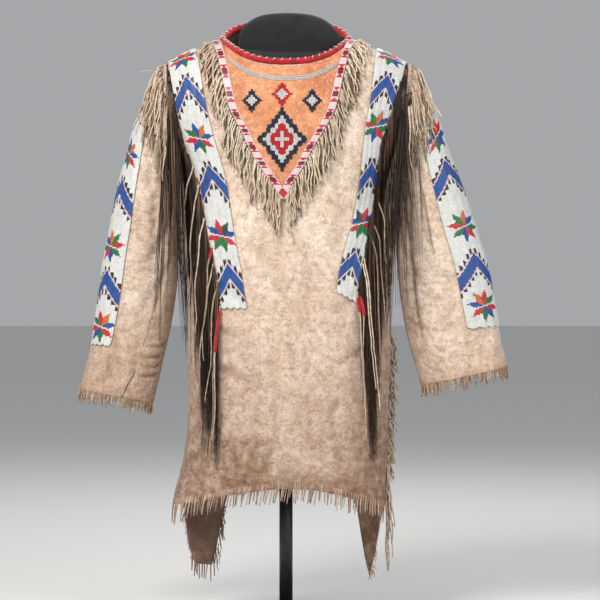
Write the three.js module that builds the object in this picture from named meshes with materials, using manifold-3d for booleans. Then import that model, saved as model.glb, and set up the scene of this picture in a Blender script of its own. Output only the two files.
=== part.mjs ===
// A beaded hide shirt, hollow and filled out, resting on a limbless dress form.
// Millimetres, +Z up, -Y the front, origin under the middle of the base.
// Left and right in the names are as seen from the front: left is -X.
import * as THREE from "three";
import { mergeVertices } from "three/addons/utils/BufferGeometryUtils.js";
import Module from "manifold-3d";

const wasm = await Module();
wasm.setup();

// ---------- driving dimensions ----------

const HIDE = 2; // wall of the hide
const SEAM = 0.3; // gap between pieces that are sewn together
const EDGE = 1; // gap between a cut edge and the strip or roll sewn to it
const LAID = 1.35; // gap under what is laid on a curved panel, whose facets reach out between its points
const STRIP = 2.6; // a beaded strip with its hide backing
const FRONT = -1;
const BACK = 1;

const ARMPIT = 820;
const YOKE = 910; // middle of the armhole, where the chest starts to round over
const RIDGE = 1041; // shoulder line at the neck
const ARMHOLE = { depth: 58, top: 1000, leftLow: -191, leftTop: -220, rightLow: 196, rightTop: 226 };
const NECK = {
  half: 119,
  front: 0.58,
  back: 0.32,
  power: 2.6,
  nape: 50,
  standFrom: 0.45,
  standTo: 1.15,
  roll: 5.6,
  stations: 40,
  columns: [0, 9, 18, 27, 36, 54, 72],
};
const ROUND = { section: 2.4, yoke: 3, over: 1.11 }; // powers of the curves

// The body: side seams and the depth of each panel at a height.
const BODY = [
  { z: 30, left: -212, right: 172, front: 72, back: 62 },
  { z: 200, left: -205, right: 177, front: 80, back: 68 },
  { z: 300, left: -182, right: 181, front: 89, back: 75 },
  { z: 400, left: -174, right: 185, front: 98, back: 82 },
  { z: 490, left: -176, right: 188, front: 104, back: 89 },
  { z: 580, left: -177, right: 185, front: 108, back: 95 },
  { z: 670, left: -182, right: 181, front: 112, back: 101 },
  { z: 757, left: -186, right: 182, front: 116, back: 106 },
  { z: 820, left: -191, right: 196, front: 119, back: 110 },
  { z: 910, left: -205, right: 211, front: 120, back: 112 },
];

// The shoulder line, by distance from the middle.
const SHOULDER = [
  { x: 0, z: 1046 },
  { x: 60, z: 1045 },
  { x: 119, z: 1039 },
  { x: 150, z: 1031 },
  { x: 182, z: 1020 },
  { x: 205, z: 1008 },
  { x: 226, z: 998 },
];

// Long soft folds: place across the panel, half width, depth at the hem, height where each dies out.
const FOLDS = {
  [FRONT]: [
    { u: -0.8, wide: 0.1, deep: 5, dies: 560 },
    { u: -0.5, wide: 0.13, deep: -4, dies: 480 },
    { u: -0.16, wide: 0.1, deep: 3.5, dies: 430 },
    { u: 0.22, wide: 0.14, deep: -4.5, dies: 520 },
    { u: 0.58, wide: 0.12, deep: 5.5, dies: 600 },
    { u: 0.84, wide: 0.08, deep: -4, dies: 640 },
  ],
  [BACK]: [
    { u: -0.72, wide: 0.12, deep: -5, dies: 600 },
    { u: -0.36, wide: 0.12, deep: 5, dies: 520 },
    { u: 0.05, wide: 0.14, deep: -5, dies: 620 },
    { u: 0.45, wide: 0.12, deep: 5, dies: 540 },
    { u: 0.78, wide: 0.1, deep: -4, dies: 460 },
  ],
};

// Natural lower edges of the two hides: the back one ends in the two leg tabs.
const HEM = {
  [FRONT]: [
    { x: -205, z: 211 },
    { x: -150, z: 222 },
    { x: -90, z: 235 },
    { x: -20, z: 244 },
    { x: 50, z: 241 },
    { x: 110, z: 228 },
    { x: 177, z: 206 },
  ],
  [BACK]: [
    { x: -205, z: 216 },
    { x: -187, z: 205 },
    { x: -172, z: 128 },
    { x: -161, z: 97 },
    { x: -130, z: 93 },
    { x: -121, z: 140 },
    { x: -110, z: 238 },
    { x: -40, z: 252 },
    { x: 50, z: 252 },
    { x: 108, z: 236 },
    { x: 130, z: 196 },
    { x: 146, z: 112 },
    { x: 156, z: 74 },
    { x: 165, z: 122 },
    { x: 177, z: 208 },
  ],
};

// The sleeves below the armhole: outer and inner edge of each ring and half its depth.
const SLEEVE_LEFT = [
  { outX: -241, outZ: 965, inX: -193.5, inZ: 814, deep: 58 },
  { outX: -258, outZ: 926, inX: -195, inZ: 806, deep: 57 },
  { outX: -272, outZ: 886, inX: -196, inZ: 796, deep: 56 },
  { outX: -284, outZ: 839, inX: -196, inZ: 778, deep: 54 },
  { outX: -301, outZ: 775, inX: -195, inZ: 748, deep: 53 },
  { outX: -313, outZ: 710, inX: -195, inZ: 692, deep: 52 },
  { outX: -326, outZ: 645, inX: -196, inZ: 634, deep: 51 },
  { outX: -335, outZ: 580, inX: -201, inZ: 573, deep: 50 },
  { outX: -346, outZ: 515, inX: -214, inZ: 505, deep: 49 },
  { outX: -359, outZ: 461, inX: -228, inZ: 443, deep: 48 },
  { outX: -371, outZ: 418, inX: -239, inZ: 393, deep: 47 },
];
const SLEEVE_RIGHT = [
  { outX: 248, outZ: 965, inX: 200, inZ: 814, deep: 58 },
  { outX: 265, outZ: 926, inX: 200.5, inZ: 806, deep: 57 },
  { outX: 278, outZ: 890, inX: 201, inZ: 796, deep: 56 },
  { outX: 295, outZ: 839, inX: 200, inZ: 778, deep: 54 },
  { outX: 320, outZ: 775, inX: 198, inZ: 746, deep: 53 },
  { outX: 342, outZ: 710, inX: 198, inZ: 685, deep: 52 },
  { outX: 362, outZ: 645, inX: 203, inZ: 627, deep: 51 },
  { outX: 374, outZ: 580, inX: 209, inZ: 566, deep: 50 },
  { outX: 385, outZ: 512, inX: 223, inZ: 497, deep: 49 },
  { outX: 392, outZ: 483, inX: 234, inZ: 459, deep: 48 },
  { outX: 398, outZ: 458, inX: 243, inZ: 424, deep: 47 },
];
const SLEEVE_POWER = 2.25;
const SLEEVE_SIDES = 20;

// The bib's two edges, from its point up to the shoulder.
const BIB = [
  { z: 752, left: -7, right: 1 },
  { z: 779, left: -24, right: 12 },
  { z: 812, left: -46, right: 33 },
  { z: 840, left: -62, right: 47 },
  { z: 870, left: -76, right: 65 },
  { z: 905, left: -94, right: 84 },
  { z: 960, left: -113, right: 103 },
  { z: 1041, left: -137, right: 131 },
];
const BIB_WALL = 1.8;
const BIB_LAID = 2.3; // it bridges the tighter turn beside the neck
const BIB_ROWS = { low: 5, over: 7 };
// Places of the bib's columns along the shoulder line, close together at the neck points.
const BIB_COLUMNS = [
  -137, -119.5, -118.4, -115, -106, -84, -48, 0, 46, 80, 98, 109, 115.5, 118.3, 119.5, 131,
];
const BORDER = { wide: 10, thick: 2.4 };

// The beaded strips over the shoulders: both edges from the front end up to the shoulder line.
const CHEST_LEFT = [
  { z: 561, near: -67, far: -112 },
  { z: 632, near: -78, far: -120 },
  { z: 690, near: -89, far: -134 },
  { z: 780, near: -102, far: -149 },
  { z: 822, near: -113, far: -162 },
  { z: 870, near: -127, far: -179 },
  { z: 910, near: -137, far: -190 },
  { z: 960, near: -149, far: -201 },
  { z: 1041, near: -165, far: -212 },
];
const CHEST_RIGHT = [
  { z: 590, near: 88, far: 126 },
  { z: 632, near: 94, far: 133 },
  { z: 710, near: 115, far: 149 },
  { z: 751, near: 123, far: 157 },
  { z: 800, near: 130, far: 165 },
  { z: 844, near: 135, far: 169 },
  { z: 880, near: 139, far: 176 },
  { z: 913, near: 145, far: 186 },
  { z: 960, near: 154, far: 203 },
  { z: 1041, near: 164, far: 218 },
];
const CHEST_SLANT = { left: 0, right: 20 }; // how much lower the far corner of the front end hangs
const CHEST_BACK_END = 600;
const CHEST_BACK_PULL = 0.86; // the strips lie nearer the middle down the back

// The beaded strips on the sleeves: edge angles round the tube, by ring number counted from the armhole.
const ARM_LEFT = [
  { ring: 2.6, outer: -4, inner: 64 },
  { ring: 5, outer: 0, inner: 72 },
  { ring: 8, outer: 6, inner: 70 },
  { ring: 9.3, outer: 20, inner: 68 },
];
const ARM_RIGHT = [
  { ring: 2.2, outer: 18, inner: 84 },
  { ring: 5, outer: 22, inner: 86 },
  { ring: 7, outer: 20, inner: 80 },
  { ring: 8.7, outer: 14, inner: 77 },
];

// The dress form: neck stump rings, post and base.
const STUMP = [
  { z: 1008, mid: 10, half: 97, deep: 40 },
  { z: 1036, mid: 10, half: 95, deep: 40 },
  { z: 1052, mid: 7, half: 91, deep: 39 },
  { z: 1068, mid: 4, half: 81, deep: 37 },
  { z: 1080, mid: 4, half: 66, deep: 32 },
  { z: 1088, mid: 3, half: 47, deep: 24 },
  { z: 1092, mid: 3, half: 24, deep: 12 },
];
const FORM = {
  bottom: 288,
  ease: 13,
  shoulderEase: 1,
  neckEase: 10,
  postRadius: 12,
  baseRadius: 150,
  baseHeight: 14,
};

// Fringe and hair: number of strands, length, strip width, share of the strip that strands take.
const FRINGE = {
  bib: { count: 16, long: 50, wide: 4, duty: 0.36 },
  hemFront: { count: 24, long: 17, wide: 4, duty: 0.55 },
  hemBack: { count: 12, long: 16, wide: 4, duty: 0.55 },
  cuff: { count: 16, long: 16, wide: 3.5, duty: 0.5 },
  shoulder: { count: 7, long: 92, wide: 4, duty: 0.5 },
  side: { count: 11, long: 26, wide: 3, duty: 0.4 },
  tab: { count: 5, long: 26, wide: 4, duty: 0.55 },
  hair: { count: 13, long: 385, wide: 3, duty: 0.3 },
};

const COLOURS = {
  hide: 0xcdb091,
  ochre: 0xd3935a,
  beads: 0xe9ece8,
  border: 0xc23a44,
  wool: 0xb3161f,
  hair: 0x1f1512,
  form: 0x1d1d1e,
};

// ---------- curves and tables ----------

const clamp = (x, low, high) => Math.min(high, Math.max(low, x));
const mix = (a, b, f) => a + (b - a) * f;
const smooth = (low, high, x) => {
  const f = clamp((x - low) / (high - low), 0, 1);
  return f * f * (3 - 2 * f);
};
const rad = THREE.MathUtils.degToRad;

// Smooth value of one column of a table whose rows are in order of the key column.
function read(rows, key, column, at) {
  const last = rows.length - 1;
  const x = clamp(at, rows[0][key], rows[last][key]);
  let i = 0;
  while (i < last - 1 && x > rows[i + 1][key]) i++;
  const slope = (j) => {
    const a = rows[Math.max(0, j - 1)];
    const b = rows[Math.min(last, j + 1)];
    return (b[column] - a[column]) / (b[key] - a[key]);
  };
  const step = rows[i + 1][key] - rows[i][key];
  const f = (x - rows[i][key]) / step;
  const f2 = f * f;
  const f3 = f2 * f;
  return (
    (2 * f3 - 3 * f2 + 1) * rows[i][column] +
    (f3 - 2 * f2 + f) * step * slope(i) +
    (3 * f2 - 2 * f3) * rows[i + 1][column] +
    (f3 - f2) * step * slope(i + 1)
  );
}

// The same, in straight lines from row to row.
function readStraight(rows, key, column, at) {
  let i = 0;
  while (i < rows.length - 2 && at > rows[i + 1][key]) i++;
  const f = clamp((at - rows[i][key]) / (rows[i + 1][key] - rows[i][key]), 0, 1);
  return mix(rows[i][column], rows[i + 1][column], f);
}

// ---------- the surface of the body ----------
// u runs from -1 at one side seam to 1 at the other. h is the height, and above the yoke it is the share of
// the turn over the shoulder, so that h = RIDGE is the shoulder line on both panels.

const turn = (h) => (h <= YOKE ? 0 : ((h - YOKE) / (RIDGE - YOKE)) * (Math.PI / 2));
const edgeHeight = (h) => (h <= YOKE ? h : YOKE + (ARMHOLE.top - YOKE) * Math.sin(turn(h)));

function armholeX(right, z) {
  const f = clamp((z - ARMPIT) / (ARMHOLE.top - ARMPIT), 0, 1);
  return right ? mix(ARMHOLE.rightLow, ARMHOLE.rightTop, f) : mix(ARMHOLE.leftLow, ARMHOLE.leftTop, f);
}

function sideX(right, h) {
  return h <= ARMPIT ? read(BODY, "z", right ? "right" : "left", h) : armholeX(right, edgeHeight(h));
}

const midX = (h) => (sideX(false, h) + sideX(true, h)) / 2;
const halfX = (h) => (sideX(true, h) - sideX(false, h)) / 2;
const acrossOf = (x, h) => clamp((x - midX(h)) / halfX(h), -1, 1);

function edgeDepth(h) {
  if (h <= ARMPIT) return 0;
  if (h >= YOKE) return ARMHOLE.depth;
  return ARMHOLE.depth * Math.sqrt(1 - ((YOKE - h) / (YOKE - ARMPIT)) ** 2);
}

function foldDepth(side, u, h) {
  return FOLDS[side].reduce((sum, f) => {
    const across = Math.exp(-(((u - f.u) / f.wide) ** 2));
    return sum + f.deep * across * (1 - smooth(220, f.dies, h));
  }, 0);
}

function bodyPoint(side, u, h, nape = NECK.nape) {
  const low = Math.min(h, YOKE);
  const round = (1 - Math.abs(u) ** ROUND.section) ** (1 / ROUND.section);
  const flat = 1 - Math.abs(u) ** ROUND.yoke;
  const full = mix(round, flat, smooth(ARMPIT - 30, YOKE, low));
  const middle = read(BODY, "z", side === FRONT ? "front" : "back", low);
  const depth = mix(edgeDepth(low), middle, full) + foldDepth(side, u, h) * full;
  const x = midX(h) + halfX(h) * u;
  const power = ROUND.over - (ROUND.over - 1) * u ** 4;
  const stand = smooth(NECK.standFrom, NECK.standTo, turn(h)) * Math.max(0, 1 - (x / NECK.half) ** 4);
  const rise = side === BACK ? nape * stand : 0;
  const top = read(SHOULDER, "x", "z", Math.abs(x)) + rise;
  const edge = Math.abs(u) ** 12;
  const crest = mix(top, ARMHOLE.top, edge);
  const z = h <= YOKE ? h : YOKE + (crest - YOKE) * Math.sin(turn(h)) ** power;
  const y = h <= YOKE ? depth : depth * Math.max(0, Math.cos(turn(h))) ** power;
  return new THREE.Vector3(x, side * (y + SEAM / 2), z);
}

// Even steps of t give fine steps of u near the side seams.
const acrossAt = (t) => Math.sign(t) * Math.abs(Math.sin((t * Math.PI) / 2)) ** (2 / ROUND.section);
const stepOf = (u) => (Math.sign(u) * Math.asin(Math.abs(u) ** (ROUND.section / 2)) * 2) / Math.PI;

function bodyNormal(side, u, h, nape) {
  const t = stepOf(u);
  const dt = 0.02;
  const dh = 3;
  const at = (tt, hh) => bodyPoint(side, acrossAt(clamp(tt, -1, 1)), Math.min(hh, RIDGE), nape);
  const across = at(t + dt, h).sub(at(t - dt, h));
  const up = at(t, h + dh).sub(at(t, h - dh));
  const n = across.cross(up).multiplyScalar(side === FRONT ? 1 : -1);
  if (h >= RIDGE - 0.01) n.y = 0;
  if (Math.abs(u) > 0.9999 && h <= ARMPIT) {
    n.y = 0;
    n.z = 0;
  }
  return n.normalize();
}

// A point over the panel at x, moved out from its outer face.
function onBody(side, x, h, out) {
  const u = acrossOf(x, h);
  return bodyPoint(side, u, h).addScaledVector(bodyNormal(side, u, h), out);
}

function neckTurn(side, x) {
  const dip = side === FRONT ? NECK.front : NECK.back;
  const f = Math.max(0, 1 - Math.abs(x / NECK.half) ** NECK.power);
  return mix(YOKE, RIDGE, 1 - dip * Math.sqrt(f));
}

// The height where the column at u ends: the shoulder line, or the neckline between the neck points.
function panelTop(side, u) {
  let h = RIDGE;
  for (let pass = 0; pass < 4; pass++) h = neckTurn(side, midX(h) + halfX(h) * u);
  return h;
}

function hemOf(side, u) {
  const x = midX(200) + halfX(200) * u;
  return side === FRONT ? read(HEM[side], "x", "z", x) : readStraight(HEM[side], "x", "z", x);
}

// ---------- closed solids ----------

// A closed mesh from points and faces given as corner numbers. A face with four corners is cut
// along its shorter diagonal, so that slanted ones still follow the curve.
function solidFrom(points, faces) {
  const cut = (f) => {
    if (f.length === 3) return f;
    const [a, b, c, d] = f;
    const straight = points[a].distanceTo(points[c]) <= points[b].distanceTo(points[d]);
    return straight ? [a, b, c, a, c, d] : [a, b, d, b, c, d];
  };
  const geometry = new THREE.BufferGeometry();
  geometry.setAttribute("position", new THREE.Float32BufferAttribute(points.flatMap((p) => p.toArray()), 3));
  geometry.setIndex(faces.flatMap(cut));
  return facingOut(geometry);
}

// Turns a closed mesh's faces so that they point outward.
function facingOut(geometry) {
  const p = geometry.attributes.position;
  const index = geometry.index.array;
  const a = new THREE.Vector3();
  const b = new THREE.Vector3();
  const c = new THREE.Vector3();
  let volume = 0;
  for (let i = 0; i < index.length; i += 3) {
    a.fromBufferAttribute(p, index[i]);
    b.fromBufferAttribute(p, index[i + 1]);
    c.fromBufferAttribute(p, index[i + 2]);
    volume += a.dot(b.cross(c));
  }
  if (volume < 0) {
    for (let i = 0; i < index.length; i += 3) [index[i], index[i + 1]] = [index[i + 1], index[i]];
  }
  return geometry;
}

// A wall between two grids of points: outer[row][column] and inner[row][column].
// With ring set, each row closes on itself.
function wall(outer, inner, ring = false) {
  const rows = outer.length;
  const columns = outer[0].length;
  const points = [...outer.flat(), ...inner.flat()];
  const o = (r, c) => r * columns + (c % columns);
  const i = (r, c) => rows * columns + o(r, c);
  const spans = ring ? columns : columns - 1;
  const faces = [];
  for (let r = 0; r < rows - 1; r++) {
    for (let c = 0; c < spans; c++) {
      faces.push([o(r, c), o(r, c + 1), o(r + 1, c + 1), o(r + 1, c)]);
      faces.push([i(r, c), i(r + 1, c), i(r + 1, c + 1), i(r, c + 1)]);
    }
  }
  for (let c = 0; c < spans; c++) {
    faces.push([o(0, c), i(0, c), i(0, c + 1), o(0, c + 1)]);
    faces.push([o(rows - 1, c), o(rows - 1, c + 1), i(rows - 1, c + 1), i(rows - 1, c)]);
  }
  if (!ring) {
    for (let r = 0; r < rows - 1; r++) {
      faces.push([o(r, 0), o(r + 1, 0), i(r + 1, 0), i(r, 0)]);
      faces.push([o(r, spans), i(r, spans), i(r + 1, spans), o(r + 1, spans)]);
    }
  }
  return solidFrom(points, faces);
}

// A solid through rings of points, closed with a fan at each end.
function loft(rings) {
  const n = rings[0].length;
  const points = rings.flat();
  const faces = [];
  for (let r = 0; r < rings.length - 1; r++) {
    for (let c = 0; c < n; c++) {
      const d = (c + 1) % n;
      faces.push([r * n + c, r * n + d, (r + 1) * n + d, (r + 1) * n + c]);
    }
  }
  for (const [r, flip] of [[0, true], [rings.length - 1, false]]) {
    const centre = rings[r].reduce((sum, p) => sum.add(p), new THREE.Vector3()).divideScalar(n);
    points.push(centre);
    const hub = points.length - 1;
    for (let c = 0; c < n; c++) {
      const d = (c + 1) % n;
      faces.push(flip ? [hub, r * n + d, r * n + c] : [hub, r * n + c, r * n + d]);
    }
  }
  return solidFrom(points, faces);
}

// A narrow strip with strands that grow from its lower edge.
// corner(s, low, out) gives the strip's corners at s. strand(k, s) gives rings { at, side, out } past the
// root, where side and out are half the strand's width and thickness as vectors.
function comb(spec, corner, strand) {
  const stops = [0];
  for (let k = 0; k < spec.count; k++) {
    const middle = (k + 0.5) / spec.count;
    const half = spec.duty / (2 * spec.count);
    stops.push(middle - half, middle + half);
  }
  stops.push(1);
  const points = [];
  const faces = [];
  for (const s of stops) {
    points.push(corner(s, 0, 1), corner(s, 0, 0), corner(s, 1, 0), corner(s, 1, 1));
  }
  const last = stops.length - 1;
  for (let j = 0; j < last; j++) {
    const a = j * 4;
    const b = a + 4;
    faces.push([a, b, b + 1, a + 1], [a + 1, b + 1, b + 2, a + 2], [a + 3, b + 3, b, a]);
    if (j % 2 === 0) faces.push([a + 2, b + 2, b + 3, a + 3]);
  }
  faces.push([0, 1, 2, 3], [last * 4 + 3, last * 4 + 2, last * 4 + 1, last * 4]);
  for (let k = 0; k < spec.count; k++) {
    const a = (2 * k + 1) * 4;
    let ring = [a + 2, a + 6, a + 7, a + 3];
    for (const r of strand(k, (k + 0.5) / spec.count)) {
      const base = points.length;
      points.push(
        r.at.clone().sub(r.side).sub(r.out),
        r.at.clone().add(r.side).sub(r.out),
        r.at.clone().add(r.side).add(r.out),
        r.at.clone().sub(r.side).add(r.out),
      );
      const next = [base, base + 1, base + 2, base + 3];
      for (let c = 0; c < 4; c++) {
        const d = (c + 1) % 4;
        faces.push([ring[c], ring[d], next[d], next[c]]);
      }
      ring = next;
    }
    faces.push([ring[0], ring[1], ring[2], ring[3]]);
  }
  return solidFrom(points, faces);
}

// ---------- pieces of the shirt ----------

function panelColumns(side) {
  const needed = [-1, 1];
  for (const degrees of NECK.columns) {
    const x = NECK.half * Math.cos(rad(degrees));
    needed.push(stepOf(acrossOf(x, neckTurn(side, x))));
    needed.push(stepOf(acrossOf(-x, neckTurn(side, x))));
  }
  if (side === BACK) for (const row of HEM[BACK]) needed.push(stepOf(acrossOf(row.x, 200)));
  const columns = [...needed];
  const regular = 22;
  const closest = 0.06;
  for (let k = 0; k <= regular; k++) {
    const t = (2 * k) / regular - 1;
    if (needed.every((other) => Math.abs(other - t) > closest)) columns.push(t);
  }
  return columns.sort((a, b) => a - b).map(acrossAt);
}

function panelRows(side, u) {
  const low = 6;
  const arm = 3;
  const over = 7;
  const rows = [];
  for (let k = 0; k <= low; k++) rows.push(mix(hemOf(side, u), ARMPIT, k / low));
  for (let k = 1; k <= arm; k++) rows.push(YOKE - (YOKE - ARMPIT) * Math.cos(((k / arm) * Math.PI) / 2));
  for (let k = 1; k <= over; k++) rows.push(mix(YOKE, panelTop(side, u), k / over));
  return rows;
}

function panel(side) {
  const outer = [];
  const inner = [];
  for (const u of panelColumns(side)) {
    const points = panelRows(side, u).map((h) => bodyPoint(side, u, h));
    const normals = panelRows(side, u).map((h) => bodyNormal(side, u, h));
    outer.push(points);
    inner.push(points.map((p, k) => p.clone().addScaledVector(normals[k], -HIDE)));
  }
  return wall(outer, inner);
}

// A ring of a sleeve: number 0 is the armhole, and fractions lie between the table's rows.
function sleeveRing(rows, number) {
  const right = rows === SLEEVE_RIGHT;
  const side = right ? 1 : -1;
  const shoulder = {
    outX: armholeX(right, ARMHOLE.top) + side * 2 * SEAM,
    outZ: ARMHOLE.top,
    inX: armholeX(right, ARMPIT) + side * 2 * SEAM,
    inZ: ARMPIT,
    deep: ARMHOLE.depth,
  };
  const all = [shoulder, ...rows].map((row, n) => ({ ...row, n }));
  const pick = (column) => read(all, "n", column, number);
  return { outX: pick("outX"), outZ: pick("outZ"), inX: pick("inX"), inZ: pick("inZ"), deep: pick("deep") };
}

// Angle 0 is the outer edge and 90 degrees the front.
function sleevePoint(rows, number, angle, out) {
  const r = sleeveRing(rows, number);
  const outer = new THREE.Vector3(r.outX, 0, r.outZ);
  const inner = new THREE.Vector3(r.inX, 0, r.inZ);
  const centre = outer.clone().add(inner).divideScalar(2);
  const across = outer.clone().sub(centre);
  const half = across.length();
  across.normalize();
  const power = 2 / mix(2, SLEEVE_POWER, clamp(number, 0, 1));
  const c = Math.cos(angle);
  const s = Math.sin(angle);
  const a = Math.sign(c) * Math.abs(c) ** power;
  const d = Math.sign(s) * Math.abs(s) ** power;
  return centre
    .addScaledVector(across, (half + out) * a)
    .add(new THREE.Vector3(0, -(r.deep + out) * d, 0));
}

function sleeve(rows) {
  const outer = [];
  const inner = [];
  for (let n = 0; n <= rows.length; n++) {
    const angles = Array.from({ length: SLEEVE_SIDES }, (_, k) => (k / SLEEVE_SIDES) * 2 * Math.PI);
    outer.push(angles.map((a) => sleevePoint(rows, n, a, 0)));
    inner.push(angles.map((a) => sleevePoint(rows, n, a, -HIDE)));
  }
  return wall(outer, inner, true);
}

// The place of the bib's column k, from 0 at its left edge to 1 at its right one.
// Most rows lie in the turn over the shoulder.
function bibPlace(k, row) {
  const across = (h) => mix(read(BIB, "z", "left", h), read(BIB, "z", "right", h), k);
  let top = RIDGE;
  if (Math.abs(across(RIDGE)) < NECK.half) {
    for (let pass = 0; pass < 8; pass++) top = neckTurn(FRONT, across(top));
  }
  const over = (row - BIB_ROWS.low) / BIB_ROWS.over;
  const h = over < 0 ? mix(BIB[0].z, YOKE, row / BIB_ROWS.low) : mix(YOKE, top - 3, over);
  return { x: across(h), h };
}

function bib() {
  const rows = BIB_ROWS.low + BIB_ROWS.over;
  const { left, right } = BIB[BIB.length - 1];
  const layer = (out) =>
    BIB_COLUMNS.map((top) =>
      Array.from({ length: rows + 1 }, (_, r) => {
        const { x, h } = bibPlace((top - left) / (right - left), r);
        return onBody(FRONT, x, h, out);
      }),
    );
  return wall(layer(BIB_LAID + BIB_WALL), layer(BIB_LAID));
}

function bibBorder(right) {
  const rows = 13;
  const columns = 2;
  const low = BIB_LAID + BIB_WALL + EDGE + SEAM;
  const layer = (out) =>
    Array.from({ length: columns + 1 }, (_, c) =>
      Array.from({ length: rows + 1 }, (_, r) => {
        const h = mix(BIB[0].z + 3, RIDGE - 9, r / rows);
        const left = read(BIB, "z", "left", h);
        const far = read(BIB, "z", "right", h);
        const slope = (read(BIB, "z", "left", h + 5) - read(BIB, "z", "left", h - 5)) / 10;
        const wide = Math.min(BORDER.wide * Math.hypot(1, slope), (far - left) / 2 - SEAM);
        const x = right ? far - (wide * c) / columns : left + (wide * c) / columns;
        return onBody(FRONT, x, h, out);
      }),
    );
  return wall(layer(low + BORDER.thick), layer(low));
}

// The roll round the neck: a closed loop along both necklines, just clear of the cut edges.
function neckBinding() {
  const clear = 2;
  const around = NECK.stations;
  const sides = 6;
  const edge = Array.from({ length: around }, (_, k) => {
    const angle = (k / around) * 2 * Math.PI;
    const side = angle < Math.PI ? FRONT : BACK;
    const x = NECK.half * Math.cos(angle);
    const h = neckTurn(side, x);
    const u = acrossOf(x, h);
    const normal = bodyNormal(side, u, h);
    return { at: bodyPoint(side, u, h).addScaledVector(normal, -HIDE / 2), normal };
  });
  const rings = edge.map(({ at, normal }, k) => {
    const ahead = edge[(k + 1) % around].at;
    const behind = edge[(k + around - 1) % around].at;
    const along = ahead.clone().sub(behind).normalize();
    const inward = normal.clone().cross(along).normalize();
    if (inward.dot(new THREE.Vector3(-at.x, -at.y, 40)) < 0) inward.negate();
    const centre = at.clone().addScaledVector(inward, NECK.roll + clear);
    const up = inward.clone().cross(along).normalize();
    return Array.from({ length: sides }, (_, c) => {
      const a = (c / sides) * 2 * Math.PI;
      return centre
        .clone()
        .addScaledVector(inward, NECK.roll * Math.cos(a))
        .addScaledVector(up, NECK.roll * Math.sin(a));
    });
  });
  const points = rings.flat();
  const faces = [];
  for (let r = 0; r < around; r++) {
    const next = (r + 1) % around;
    for (let c = 0; c < sides; c++) {
      const d = (c + 1) % sides;
      faces.push([r * sides + c, r * sides + d, next * sides + d, next * sides + c]);
    }
  }
  return solidFrom(points, faces);
}

// Stations of a chest strip from its front end over the shoulder to its back end.
function chestStations(rows) {
  const stations = [];
  const front = 6;
  const over = 9;
  for (let k = 0; k < front; k++) stations.push([FRONT, mix(rows[0].z, YOKE, k / front)]);
  for (let k = 0; k <= over; k++) stations.push([FRONT, mix(YOKE, RIDGE, k / over)]);
  for (let k = over - 1; k > 0; k--) stations.push([BACK, mix(YOKE, RIDGE, k / over)]);
  for (let k = front - 1; k >= 0; k--) stations.push([BACK, mix(CHEST_BACK_END, YOKE, (k + 1) / front)]);
  stations.push([BACK, CHEST_BACK_END]);
  return stations;
}

function chestStrip(rows, slant) {
  const columns = 4;
  const layer = (out) =>
    Array.from({ length: columns + 1 }, (_, c) =>
      chestStations(rows).map(([side, h]) => {
        const f = c / columns;
        const inward = side === BACK ? mix(CHEST_BACK_PULL, 1, clamp((h - YOKE) / (RIDGE - YOKE), 0, 1)) : 1;
        const x = mix(read(rows, "z", "near", h), read(rows, "z", "far", h), f) * inward;
        const drop = side === FRONT ? slant * f * (1 - smooth(rows[0].z, rows[0].z + 130, h)) : 0;
        return onBody(side, x, h - drop, out);
      }),
    );
  return wall(layer(LAID + STRIP), layer(LAID));
}

function armStrip(rows, places) {
  const columns = 4;
  const steps = 12;
  const first = places[0].ring;
  const last = places[places.length - 1].ring;
  const layer = (out) =>
    Array.from({ length: columns + 1 }, (_, c) =>
      Array.from({ length: steps + 1 }, (_, r) => {
        const number = mix(first, last, r / steps);
        const outer = readStraight(places, "ring", "outer", number);
        const inner = readStraight(places, "ring", "inner", number);
        return sleevePoint(rows, number, rad(mix(outer, inner, c / columns)), out);
      }),
    );
  return wall(layer(LAID + STRIP), layer(LAID));
}

// ---------- fringe and hair ----------

const TIP = 0.5; // half the thickness of a short cut strand at its tip
const lean = (k) => Math.sin(k * 2.4) * 0.5 + Math.sin(k * 1.1 + 1) * 0.5; // uneven but repeatable, -1 to 1

function bibFringe(right) {
  const spec = FRINGE.bib;
  const side = right ? 1 : -1;
  const column = right ? "right" : "left";
  const place = (s) => {
    const h = mix(1024, BIB[0].z + 3, s);
    return { x: read(BIB, "z", column, h) + side * 1.6, h };
  };
  const corner = (s, low, out) => {
    const { x, h } = place(s);
    return onBody(FRONT, x + side * spec.wide * low, h - 2 * low, out ? LAID + 1.8 : LAID);
  };
  return comb(spec, corner, (k, s) => {
    const { x, h } = place(s);
    const long = spec.long + 7 * lean(k);
    const swing = side * mix(16, 5, s) + 3 * lean(k + 5);
    return [0.3, 0.65, 1].map((f) => {
      const px = x + side * (spec.wide + 1) + swing * f;
      const ph = h - 3 - long * f;
      const at = onBody(FRONT, px, ph, 5.6 + 1.5 * Math.sin(f * 3) + 0.4 * lean(k + 2));
      const normal = bodyNormal(FRONT, acrossOf(px, ph), ph);
      const half = new THREE.Vector3(-side * 0.95, 0, -0.3).multiplyScalar(mix(1.8, 1.1, f));
      return { at, side: half, out: normal.multiplyScalar(mix(0.9, 0.6, f)) };
    });
  });
}

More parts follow.
